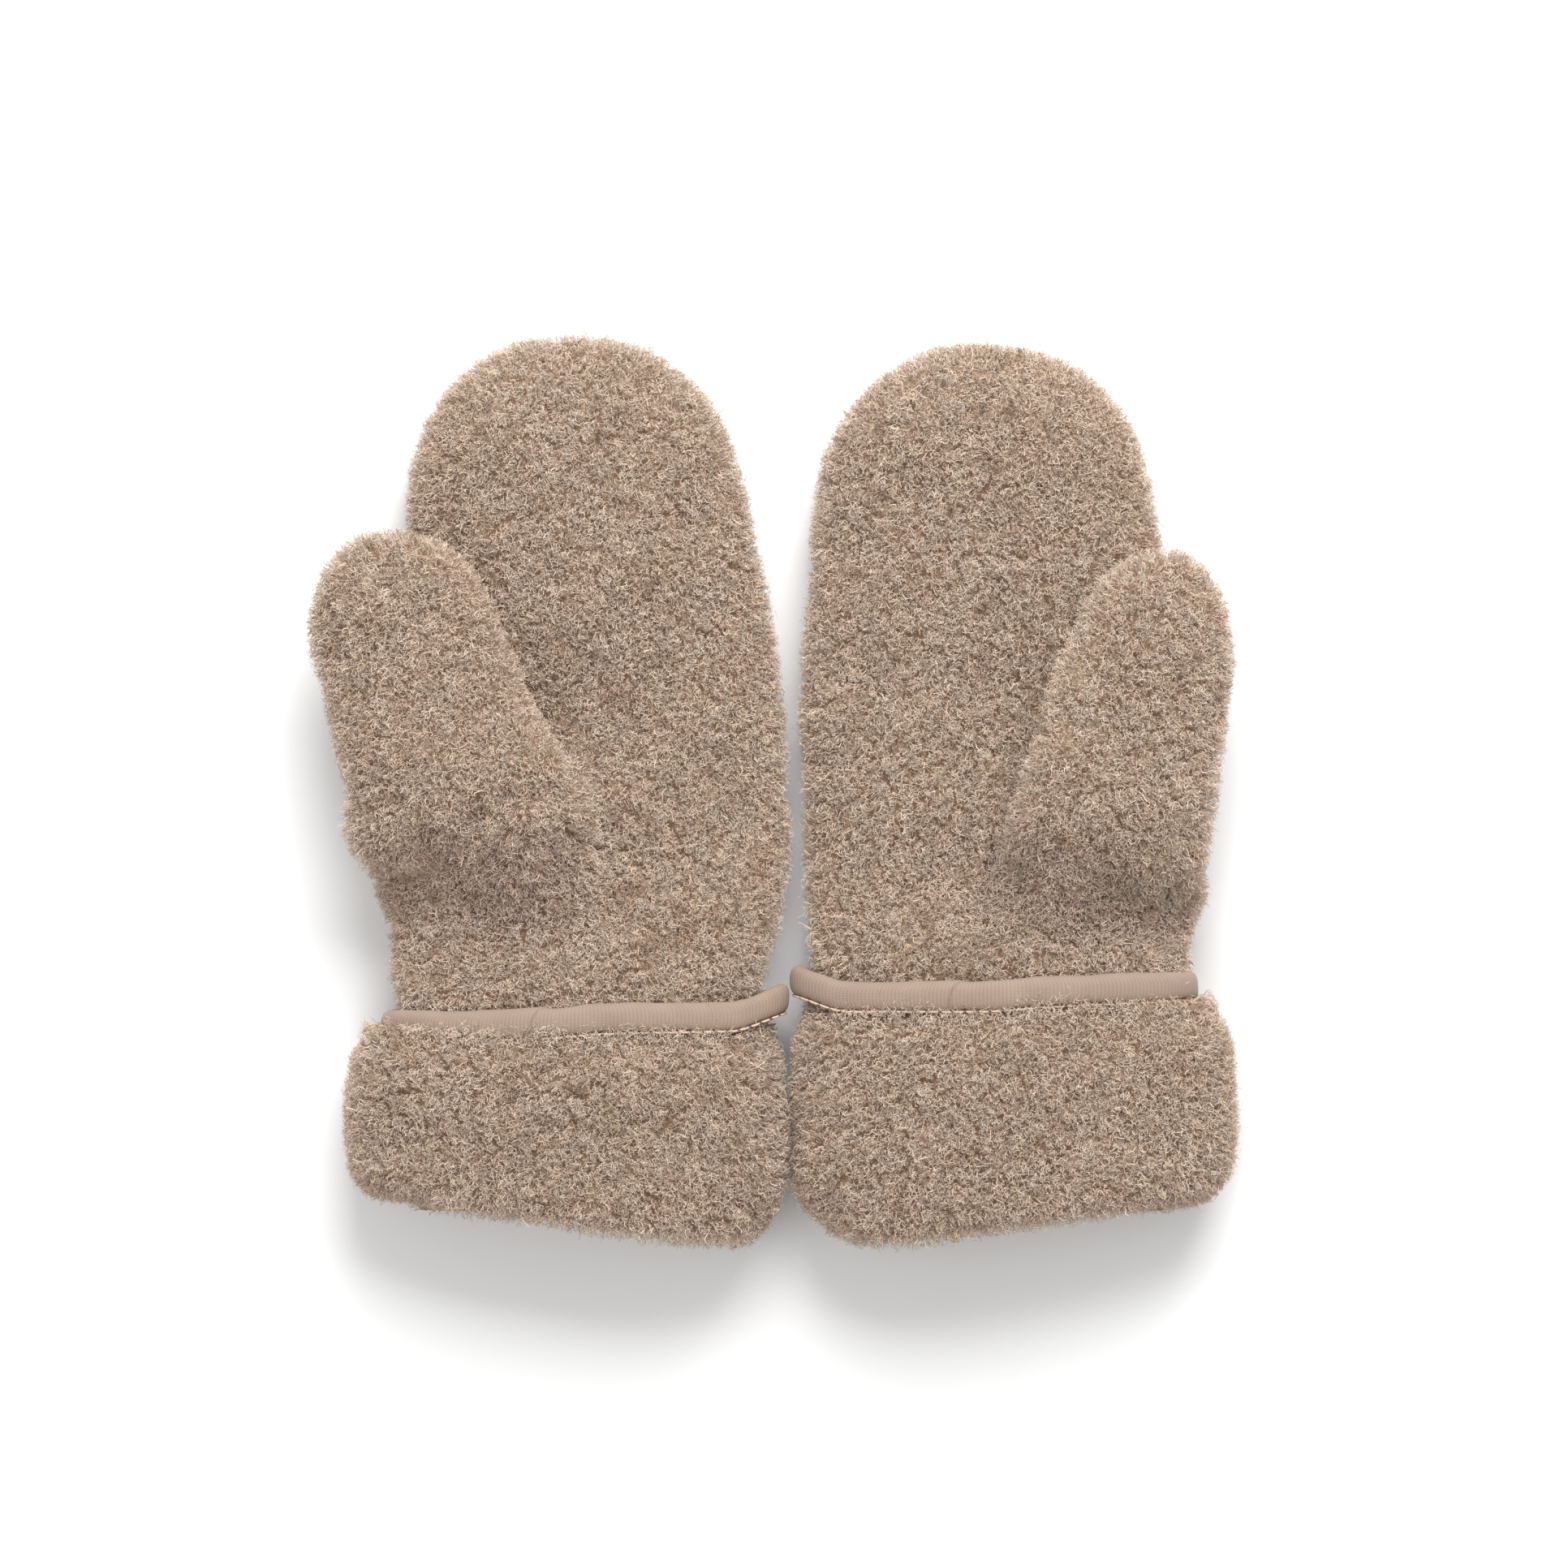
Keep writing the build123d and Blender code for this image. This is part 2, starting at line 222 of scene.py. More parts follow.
# --------------------------------------------------------------------------- finishes
@dataclass(frozen=True)
class WoolFinish:
    """Mottled beige wool, from cream to a dull brown, with painted shade in the depth of the pile."""

    cream: Colour = linear(223, 204, 185)
    sand: Colour = linear(210, 188, 166)
    stone: Colour = linear(194, 177, 159)
    rose: Colour = linear(199, 164, 142)
    olive: Colour = linear(176, 160, 129)
    umber: Colour = linear(148, 119, 95)

    def _mottle(self, graph: Graph) -> Socket:
        """The fleece's own colour changes, in patches of a few millimetres to a few centimetres."""
        place = graph.rest_place()
        patches = graph.ramp(
            graph.noise(place, 120.0, 2.5, 0.5),
            [
                (0.28, self.umber), (0.40, self.sand), (0.50, self.cream), (0.62, self.stone),
                (0.74, self.sand),
            ],
        )
        rosy = graph.noise(graph.shift(place, 3.1), 90.0, 3.0, 0.6) * 3.4 - 1.6
        mixed = graph.mix(rosy.clamp() * 0.55, patches, (*self.rose, 1.0))
        green = graph.noise(graph.shift(place, 7.7), 70.0, 3.0, 0.6) * 3.6 - 1.8
        return graph.mix(green.clamp() * 0.5, mixed, (*self.olive, 1.0))

    def locks(self) -> bpy.types.Material:
        """The finish of the curly locks: each has its own tone, and is darker towards its root with painted
        shade.
        """
        graph = Graph("wool_locks")
        shade = graph.point_value("lock_shade")
        rise = graph.point_value("lock_rise")
        stops = [(0.0, self.umber), (0.06, self.rose), (0.3, self.sand), (1.0, self.cream)]
        colour = graph.mix(0.3, self._mottle(graph), graph.ramp(shade, stops))
        # painted shade: the locks are mixed toward umber near their roots, deep in the pile
        depth = (1.0 - rise).power(2.0) * 0.3
        colour = graph.mix(depth.clamp(), colour, (*self.umber, 1.0))
        graph.dress(Base_Color=colour, Roughness=0.92, Sheen_Weight=0.3, Sheen_Roughness=0.6)
        graph.dress(Specular_IOR_Level=0.1)
        return graph.material

    def ground(self) -> bpy.types.Material:
        """The finish of the knitted ground and the tufts' cores under the locks, with painted shade between the
        tufts.
        """
        graph = Graph("wool_ground")
        lift = graph.point_value("tuft_lift")
        colour = graph.mix(0.4, self._mottle(graph), (*self.umber, 1.0))
        # painted shade: the ground turns umber where the tufts sink, in the hollows between them
        colour = graph.mix(lift.power(1.2), (*self.umber, 1.0), colour)
        place = graph.rest_place()
        fine = graph.noise(place, 900.0, 4.0, 0.65)
        curl = graph.noise(place, 380.0, 3.0, 0.6)
        normal = graph.bump(fine * 0.5 + curl, 0.6, 0.0008)
        graph.dress(Base_Color=colour, Roughness=0.95, Sheen_Weight=0.2, Sheen_Roughness=0.6)
        graph.dress(Specular_IOR_Level=0.1, Normal=normal)
        return graph.material


@dataclass(frozen=True)
class JerseyFinish:
    """Fine ribbed jersey tape, pale pinkish beige."""

    face: Colour = linear(163, 144, 130)
    shadow: Colour = linear(136, 115, 101)
    # tan is painted shade on the roll's lower, outer side
    tan: Colour = linear(146, 122, 103)
    # the hole colour is painted shade inside the needle holes
    hole: Colour = linear(92, 70, 56)
    rib_pitch: float = 1.15 * MM

    def material(self) -> bpy.types.Material:
        """Ribs across the tape with small knitted loops along each rib."""
        graph = Graph("jersey_tape")
        along = graph.point_value("tape_along")
        across = graph.point_value("tape_across")
        rib = (along * (2.0 * math.pi / self.rib_pitch)).sine() * 0.5 + 0.5
        loop = (across * (2.0 * math.pi / (0.6 * MM)) + rib * 2.0).sine() * 0.5 + 0.5
        place = graph.rest_place()
        uneven = graph.noise(place, 160.0, 3.0, 0.6)
        grain = graph.noise(place, 1500.0, 3.0, 0.7)
        colour = graph.mix((rib * 0.35 + uneven * 0.5).clamp(), (*self.shadow, 1.0), (*self.face, 1.0))
        colour = graph.mix(grain * 0.25, colour, (*self.shadow, 1.0))
        # painted shade: the roll's lower, outer side is mixed toward tan
        colour = graph.mix(graph.point_value("tape_low") * 0.55, colour, (*self.tan, 1.0))
        colour = graph.mix(graph.point_value("tape_joint") * 0.5, colour, (*self.shadow, 1.0))
        # painted shade: the needle holes are darkened to the hole colour
        colour = graph.mix(graph.point_value("tape_hole").clamp(), colour, (*self.hole, 1.0))
        normal = graph.bump(rib * 0.6 + loop * 0.35 + grain * 0.3, 0.45, 0.00025)
        graph.dress(Base_Color=colour, Roughness=0.8, Normal=normal, Sheen_Weight=0.15)
        graph.dress(Specular_IOR_Level=0.25)
        return graph.material


@dataclass(frozen=True)
class ThreadFinish:
    """Spun sewing thread with its twist."""

    colour: Colour = linear(225, 202, 180)
    # painted shade in the creases between the plies
    crease: Colour = linear(176, 148, 126)

    def material(self) -> bpy.types.Material:
        """Fine slanted plies, with painted shade in their creases."""
        graph = Graph("sewing_thread")
        place = graph.rest_place()
        ply = graph.noise(place, 2600.0, 2.0, 0.5)
        colour = graph.mix(ply.clamp(), (*self.crease, 1.0), (*self.colour, 1.0))
        graph.dress(Base_Color=colour, Roughness=0.7, Normal=graph.bump(ply, 0.4, 0.0002))
        return graph.material


@dataclass(frozen=True)
class FloorFinish:
    """Plain white paper."""

    tone: float = 0.86

    def material(self) -> bpy.types.Material:
        """A faint paper grain."""
        graph = Graph("floor_paper")
        place = graph.add("ShaderNodeTexCoord", {}, {}, "Object")
        grain = graph.noise(place, 30.0, 2.0, 0.5)
        white = (self.tone, self.tone, self.tone, 1.0)
        dull = (self.tone * 0.985, self.tone * 0.985, self.tone * 0.98, 1.0)
        graph.dress(Base_Color=graph.mix(grain, white, dull), Roughness=0.9)
        return graph.material


# --------------------------------------------------------------------------- shapes
def smooth_step(value: Array) -> Array:
    """A soft rise from 0 to 1."""
    share = np.clip(value, 0.0, 1.0)
    return share * share * (3.0 - 2.0 * share)


def through(points: Sequence[tuple[float, float]], at: Array) -> Array:
    """A smooth curve through a few points.

    Args:
        points: (place, value) pairs in rising order of place.
        at: where the curve is wanted; it is level past its ends.

    Returns:
        The curve's values.
    """
    xs = np.array([p[0] for p in points], float)
    ys = np.array([p[1] for p in points], float)
    slope = np.gradient(ys, xs)
    at = np.clip(np.asarray(at, float), xs[0], xs[-1])
    k = np.clip(np.searchsorted(xs, at, side="right") - 1, 0, len(xs) - 2)
    step = xs[k + 1] - xs[k]
    t = (at - xs[k]) / step
    h00 = 2 * t**3 - 3 * t**2 + 1
    h10 = t**3 - 2 * t**2 + t
    h01 = -2 * t**3 + 3 * t**2
    h11 = t**3 - t**2
    return h00 * ys[k] + h10 * step * slope[k] + h01 * ys[k + 1] + h11 * step * slope[k + 1]


def cell_random(cells: Array, salt: int) -> Array:
    """Repeatable random numbers in 0..1 for whole-number grid cells.

    Args:
        cells: whole numbers, (..., 3).
        salt: picks one of several independent sets.

    Returns:
        Three numbers for each cell, (..., 3).
    """
    c = cells.astype(np.int64)
    base = (c[..., 0] * 73856093) ^ (c[..., 1] * 19349663) ^ (c[..., 2] * 83492791) ^ (salt * 2654435761)
    out = []
    for turn in (1, 2, 3):
        h = (base * (turn * 2 + 1) + turn * 374761393) & 0xFFFFFFFF
        h = ((h ^ (h >> 15)) * 2246822519) & 0xFFFFFFFF
        h = ((h ^ (h >> 13)) * 3266489917) & 0xFFFFFFFF
        out.append(((h ^ (h >> 16)) & 0xFFFFFF) / float(0xFFFFFF))
    return np.stack(out, -1)


def nearest_tuft(points: Array, spacing: float, salt: int) -> tuple[Array, Array, Array, Array]:
    """The tuft that each point belongs to, in a layout that wanders.

    Args:
        points: places, (n, 3).
        spacing: about how far apart tufts stand.
        salt: picks the layout.

    Returns:
        Distance to the tuft's middle, distance to the next tuft's, the way to the middle, and
        three random numbers of the tuft.
    """
    wander = [soft_noise(points, 2.1 * spacing, salt + turn) for turn in (3, 4, 5)]
    points = points + 0.75 * spacing * np.stack(wander, -1)
    cell = np.floor(points / spacing).astype(np.int64)
    best = np.full(len(points), np.inf)
    second = np.full(len(points), np.inf)
    toward = np.zeros((len(points), 3))
    chance = np.zeros((len(points), 3))
    for dx in (-1, 0, 1):
        for dy in (-1, 0, 1):
            for dz in (-1, 0, 1):
                other = cell + np.array([dx, dy, dz])
                rand = cell_random(other, salt)
                way = (other + rand) * spacing - points
                gap = np.linalg.norm(way, axis=1)
                nearer = gap < best
                second = np.where(nearer, best, np.minimum(second, gap))
                toward[nearer] = way[nearer]
                chance[nearer] = rand[nearer]
                best = np.where(nearer, gap, best)
    return best, second, toward, chance


def soft_noise(points: Array, size: float, salt: int) -> Array:
    """Smooth random values in -1..1 that change over about one size."""
    scaled = points / size
    low = np.floor(scaled).astype(np.int64)
    part = smooth_step(scaled - low)
    total = np.zeros(len(points))
    for dx in (0, 1):
        for dy in (0, 1):
            for dz in (0, 1):
                weight = np.ones(len(points))
                for axis, step in enumerate((dx, dy, dz)):
                    share = part[:, axis]
                    weight *= share if step else 1.0 - share
                total += weight * cell_random(low + np.array([dx, dy, dz]), salt)[:, 0]
    return total * 2.0 - 1.0


def unit(vectors: Array) -> Array:
    """Vectors scaled to length one."""
    return vectors / np.maximum(np.linalg.norm(vectors, axis=-1, keepdims=True), 1e-12)


@dataclass
class Skin:
    """A grid of points: rows along a tube, columns round it and closed on themselves."""

    points: Array

    def __post_init__(self) -> None:
        """Finds which way the surface faces, from its widest row."""
        p = self.points
        reach = p - p.mean(axis=1, keepdims=True)
        widest = int(np.linalg.norm(reach, axis=2).mean(axis=1).argmax())
        facing = np.sum(self._crossed()[widest] * reach[widest])
        self.outward = 1.0 if facing > 0 else -1.0

    def _crossed(self) -> Array:
        """Normals before they are turned outward."""
        p = self.points
        around = np.roll(p, -1, axis=1) - np.roll(p, 1, axis=1)
        return unit(np.cross(around, np.gradient(p, axis=0)))

    def normals(self) -> Array:
        """Unit normals at the grid's points, out of the fabric."""
        return self._crossed() * self.outward

    def faces(self) -> Array:
        """Four-cornered faces between neighbouring rows and columns."""
        rows, columns = self.points.shape[:2]
        i, j = np.meshgrid(np.arange(rows - 1), np.arange(columns), indexing="ij")
        k = (j + 1) % columns
        quads = np.stack([i * columns + j, i * columns + k, (i + 1) * columns + k, (i + 1) * columns + j], -1)
        quads = quads.reshape(-1, 4)
        return quads if self.outward > 0 else quads[:, ::-1]

    def closed(self) -> "Skin":
        """The same skin with one more row that draws its last opening shut."""
        middle = np.broadcast_to(self.points[-1].mean(axis=0), self.points[-1:].shape)
        shut = Skin(np.concatenate([self.points, middle]))
        shut.outward = self.outward
        return shut

    def band(self, first: int, last: int) -> "Skin":
        """The rows from first to last, both included."""
        part = Skin(self.points[first:last + 1])
        part.outward = self.outward
        return part


@dataclass
class Scatter:
    """Roots of locks: places, normals and the skin's shares where they stand."""

    roots: Array
    normals: Array
    rows: Array
    columns: Array


def scatter(skin: Skin, count_of: Callable[[Array], Array], rng: np.random.Generator) -> Scatter:
    """Spreads roots over a skin.

    Args:
        skin: the surface.
        count_of: roots per square metre at given places.
        rng: the seeded random source.

    Returns:
        The roots.
    """
    p = skin.points.reshape(-1, 3)
    n = skin.normals().reshape(-1, 3)
    quads = skin.faces()
    a, b, c, d = (p[quads[:, k]] for k in range(4))
    area = 0.5 * np.linalg.norm(np.cross(c - a, d - b), axis=1)
    want = area * count_of((a + c) / 2)
    number = np.floor(want + rng.random(len(want))).astype(int)
    face = np.repeat(np.arange(len(quads)), number)
    u = rng.random(len(face))[:, None]
    v = rng.random(len(face))[:, None]

    def across(values: Array) -> Array:
        """Values at the scattered spots, from those at the faces' corners."""
        q = quads[face]
        top = values[q[:, 0]] * (1 - u) + values[q[:, 1]] * u
        low = values[q[:, 3]] * (1 - u) + values[q[:, 2]] * u
        return top * (1 - v) + low * v

    rows, columns = skin.points.shape[:2]
    index = quads[face].min(axis=1)
    return Scatter(across(p), unit(across(n)), (index // columns) / rows, (index % columns) / columns)


def even_columns(dense: Array, columns: int) -> Array:
    """Closed rows of points, with their points spread evenly.

    Args:
        dense: (rows, many, 3).
        columns: how many points each row gets.

    Returns:
        (rows, columns, 3).
    """
    closed = np.concatenate([dense, dense[:, :1]], axis=1)
    step = np.linalg.norm(np.diff(closed, axis=1), axis=2)
    run = np.concatenate([np.zeros((len(dense), 1)), np.cumsum(step, axis=1)], axis=1)
    out = np.zeros((len(dense), columns, 3))
    share = np.arange(columns) / columns
    for row in range(len(dense)):
        at = share * max(run[row, -1], 1e-9)
        for axis in range(3):
            out[row, :, axis] = np.interp(at, run[row], closed[row, :, axis])
    return out


def even_rows(places: Array, widths: Array, step: float) -> Array:
    """Places along a tube whose rows lie evenly over its outline.

    Args:
        places: rising positions along the tube.
        widths: the half width at each.
        step: how far apart rows should lie.

    Returns:
        The chosen places.
    """
    run = np.concatenate([[0.0], np.cumsum(np.hypot(np.diff(places), np.diff(widths)))])
    count = max(8, int(run[-1] / step))
    return np.interp(np.linspace(0.0, run[-1], count + 1), run, places)


def blur(values: Array, width: float, axis: int, wrap: bool) -> Array:
    """Values evened out over a few neighbours."""
    reach = int(math.ceil(3 * width))
    steps = np.arange(-reach, reach + 1)
    weights = np.exp(-0.5 * (steps / width) ** 2)
    weights /= weights.sum()
    pads = [(0, 0)] * values.ndim
    pads[axis] = (reach, reach)
    padded = np.pad(values, pads, mode="wrap" if wrap else "edge")
    out = np.zeros_like(values)
    for step, weight in zip(range(2 * reach + 1), weights):
        out += weight * np.take(padded, np.arange(step, step + values.shape[axis]), axis=axis)
    return out


def new_mesh(name: str, points: Array, quads: Array, smooth: bool = True) -> bpy.types.Object:
    """A mesh object from arrays.

    Args:
        name: the piece's name.
        points: vertices, (n, 3), in metres.
        quads: faces of four corners, (m, 4).
        smooth: smooth shading.

    Returns:
        The linked object, with its rest places stored.
    """
    mesh = bpy.data.meshes.new(name)
    mesh.vertices.add(len(points))
    mesh.vertices.foreach_set("co", np.asarray(points, np.float32).ravel())
    mesh.loops.add(quads.size)
    mesh.loops.foreach_set("vertex_index", quads.astype(np.int32).ravel())
    mesh.polygons.add(len(quads))
    mesh.polygons.foreach_set("loop_start", np.arange(0, quads.size, quads.shape[1], dtype=np.int32))
    mesh.polygons.foreach_set("use_smooth", np.full(len(quads), smooth))
    mesh.update(calc_edges=True)
    store(mesh, "rest_place", points)
    piece = bpy.data.objects.new(name, mesh)
    bpy.context.scene.collection.objects.link(piece)
    return piece


def store(mesh: bpy.types.Mesh, name: str, values: Array) -> None:
    """Stores a number or a vector at each vertex."""
    values = np.asarray(values, np.float32)
    if values.ndim == 2:
        mesh.attributes.new(name, "FLOAT_VECTOR", "POINT").data.foreach_set("vector", values.ravel())
    else:
        mesh.attributes.new(name, "FLOAT", "POINT").data.foreach_set("value", values)


def store_map(mesh: bpy.types.Mesh, places: Array) -> None:
    """Stores a flat map, given at each vertex, for the finish to be printed on."""
    layer = mesh.uv_layers.new(name="OFBake")
    corner = np.zeros(len(mesh.loops), np.int32)
    mesh.loops.foreach_get("vertex_index", corner)
    layer.data.foreach_set("uv", np.asarray(places, np.float32)[corner].ravel())


# --------------------------------------------------------------------------- pile
@dataclass
class Band:
    """Some rows of a skin, and how they ride: on one body, or, when a second body is named, baked in place."""

    name: str
    first: int
    last: int
    body: str
    other: str | None = None
    start: tuple[float, float, float] = (0.0, 0.0, 0.0)
    end: tuple[float, float, float] = (0.0, 0.0, 0.0)
    stands_for: tuple[str, ...] = ()

    def attach(self, piece: bpy.types.Object) -> None:
        """Makes the piece ride on its body, or, when a second body is named, bakes its place into its points.
        """
        if self.other is None:
            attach(piece, self.body)
        else:
            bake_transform(piece)


@dataclass
class Pile:
    """Curly wool pile: tufts a few millimetres wide, each a bundle of crimped locks."""

    finish_ground: bpy.types.Material
    finish_locks: bpy.types.Material
    height: float = 4.1 * MM
    tuft: float = 5.4 * MM
    lift: float = 1.0 * MM
    density: float = 2.7e6
    lock_width: float = 0.27 * MM
    knots: int = 5
    most_locks: int = 24000
    fill: float = 0.35
    seed: int = 7

    def cover(
        self, skin: Skin, bands: Sequence[Band], share: Callable[[Array], Array] | None = None
    ) -> list:
        """Makes the ground and the locks over a skin, in bands.

        Args:
            skin: the surface before the tufts, in metres.
            bands: how the rows are split into pieces.
            share: share of the full number of locks at given places.

        Returns:
            The ground pieces.
        """
        p = skin.points.reshape(-1, 3)
        n = skin.normals().reshape(-1, 3)
        near, far, _, _ = nearest_tuft(p, self.tuft, self.seed)
        swell = np.clip(1.0 - (near / (0.75 * self.tuft)) ** 2, 0.0, 1.0)
        rise = swell * smooth_step((far - near) / (0.4 * self.tuft))
        rise = rise * (0.7 + 0.3 * soft_noise(p, 2.0 * self.tuft, self.seed + 9))
        raised = Skin((p + n * (rise * self.lift)[:, None]).reshape(skin.points.shape))
        raised.outward = skin.outward
        rise = rise.reshape(skin.points.shape[:2])
        grounds = []
        for band in bands:
            part = raised.band(band.first, band.last)
            piece = new_mesh(band.name, part.points.reshape(-1, 3), part.faces())
            store(piece.data, "tuft_lift", rise[band.first:band.last + 1].ravel())
            rows, columns = part.points.shape[:2]
            i, j = np.meshgrid(np.linspace(0, 1, rows), np.linspace(0, 1, columns), indexing="ij")
            store_map(piece.data, np.stack([j.ravel(), i.ravel()], -1))
            piece.data.materials.append(self.finish_ground)
            band.attach(piece)
            if band.stands_for:
                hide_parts(*band.stands_for)
            locks = self._coat(band, skin.band(band.first, band.last), share)
            LOG.info("%s: %d faces and %d locks", band.name, len(piece.data.polygons), locks)
            grounds.append(piece)
        return grounds

    def _coat(self, band: Band, skin: Skin, share: Callable[[Array], Array] | None) -> int:
        """Grows the locks of one band and returns how many there are."""
        rng = np.random.default_rng(self.seed + sum(map(ord, band.name)))
        density = self.density * 1.0

        def count_of(places: Array) -> Array:
            """Locks per square metre."""
            part = np.ones(len(places)) if share is None else share(places)
            return density * part

        spots = scatter(skin, count_of, rng)
        points, shade, rise = self._locks(spots, rng)
        parts = max(1, math.ceil(len(points) / self.most_locks))
        order = np.argsort(spots.rows, kind="stable")
        for number, chosen in enumerate(np.array_split(order, parts)):
            name = f"{band.name}_locks_{number + 1}"
            piece = self._lock_mesh(name, points[chosen], shade[chosen], rise, spots, chosen)
            band.attach(piece)
        return len(points)

    def _locks(self, spots: Scatter, rng: np.random.Generator) -> tuple[Array, Array, Array]:
        """Centre lines of the locks.

        Args:
            spots: the roots.
            rng: the seeded random source.

        Returns:
            Points (locks, knots, 3), a shade for each lock, and the rise at each knot.
        """
        count = len(spots.roots)
        root, normal = spots.roots, spots.normals
        near, _, toward, chance = nearest_tuft(root, self.tuft, self.seed)
        toward -= normal * np.sum(toward * normal, axis=1, keepdims=True)
        swell = np.clip(1.0 - (near / (0.95 * self.tuft)) ** 2, 0.15, 1.0)
        rise = np.linspace(0.0, 1.0, self.knots)
        patchy = 0.14 * soft_noise(root, 1.7 * self.tuft, self.seed + 13)
        tall = self.height * (0.76 + 0.27 * swell + patchy + 0.11 * rng.standard_normal(count))
        tall = np.clip(tall, 0.35 * self.height, 1.5 * self.height)
        stray = rng.random(count) < 0.025
        tall = np.where(stray, tall * 1.3, tall)
        side_a = unit(np.cross(normal, rng.standard_normal((count, 3))))
        side_b = np.cross(normal, side_a)
        swirl = np.cross(normal, unit(toward)) * (chance[:, :1] - 0.5) * 2.0
        turns = rng.uniform(0.8, 2.0, count)[:, None] * 2 * math.pi
        phase = rng.uniform(0, 2 * math.pi, count)[:, None]
        width = rng.uniform(0.3, 1.0, count)[:, None] * MM
        wave = np.sqrt(rise)[None, :] * width
        curl_a = np.cos(turns * rise + phase) - np.cos(phase)
        curl_b = np.sin(turns * rise + phase) - np.sin(phase)
        pull = np.where(stray, 0.1, 0.4 * chance[:, 2] ** 2)[:, None]
        lean = rng.standard_normal((count, 2)) * np.where(stray, 2.0, 0.55)[:, None] * MM
        droop = rng.uniform(0.0, 0.25, count)[:, None] * rise[None, :] ** 2
        up = (1.0 - (1.0 - rise) ** 1.35)[None, :] - droop
        line = root[:, None, :] + normal[:, None, :] * (tall[:, None] * up)[:, :, None]
        line = line + toward[:, None, :] * (pull * smooth_step(rise)[None, :])[:, :, None]
        line = line + swirl[:, None, :] * (1.3 * MM * np.sin(rise * math.pi * 0.7))[None, :, None]
        line = line + side_a[:, None, :] * (wave * curl_a + lean[:, :1] * rise)[:, :, None]
        line = line + side_b[:, None, :] * (wave * curl_b + lean[:, 1:] * rise)[:, :, None]
        line[:, :, 2] = np.maximum(line[:, :, 2], 0.25 * MM)
        shade = np.clip(0.4 * rng.random(count) + 0.6 * chance[:, 1], 0.0, 1.0)
        return line, shade, rise

    def _lock_mesh(
        self, name: str, lines: Array, shade: Array, rise: Array, spots: Scatter, chosen: Array
    ) -> bpy.types.Object:
        """Ribbons along the locks' centre lines.

        Args:
            name: the piece's name.
            lines: centre lines, (locks, knots, 3).
            shade: one shade for each lock.
            rise: share of the height at each knot.
            spots: all roots, for the normals and the map.
            chosen: which roots these lines stand on.

        Returns:
            The mesh object.
        """
        rng = np.random.default_rng(self.seed + 11 + len(lines))
        count, knots = lines.shape[:2]
        run = np.gradient(lines, axis=1)
        outward = spots.normals[chosen][:, None, :] + 0.55 * rng.standard_normal((count, 1, 3))
        side = unit(np.cross(run, outward))
        width = self.lock_width * (1.0 - 0.55 * rise**2)[None, :, None]
        width = width * rng.uniform(0.7, 1.25, (count, 1, 1))
        left = lines - side * width / 2
        right = lines + side * width / 2
        points = np.stack([left, right], 2).reshape(-1, 3)
        base = (np.arange(count) * knots * 2)[:, None] + (np.arange(knots - 1) * 2)[None, :]
        base = base.ravel()
        quads = np.stack([base, base + 1, base + 3, base + 2], -1)
        piece = new_mesh(name, points, quads)
        store(piece.data, "lock_shade", np.repeat(shade, knots * 2))
        store(piece.data, "lock_rise", np.tile(np.repeat(rise, 2), count))
        flat = np.stack([spots.columns[chosen], spots.rows[chosen]], -1)
        spread = np.stack([np.tile([0.0, 1.0], knots), np.repeat(rise, 2)], -1) * 0.004
        store_map(piece.data, (flat[:, None, :] + spread[None, :, :]).reshape(-1, 2))
        piece.data.materials.append(self.finish_locks)
        return piece


# --------------------------------------------------------------------------- the mitten's form
class Side(Enum):
    """Which mitten, and which way its thumb lies along X."""

    LEFT = -1
    RIGHT = 1

    @property
    def word(self) -> str:
        """The word that starts the mitten's node names."""
        return self.name.lower()


def to_mm(corner: Sequence[float]) -> Array:
    """A point in millimetres."""
    return np.array(corner, float) / MM


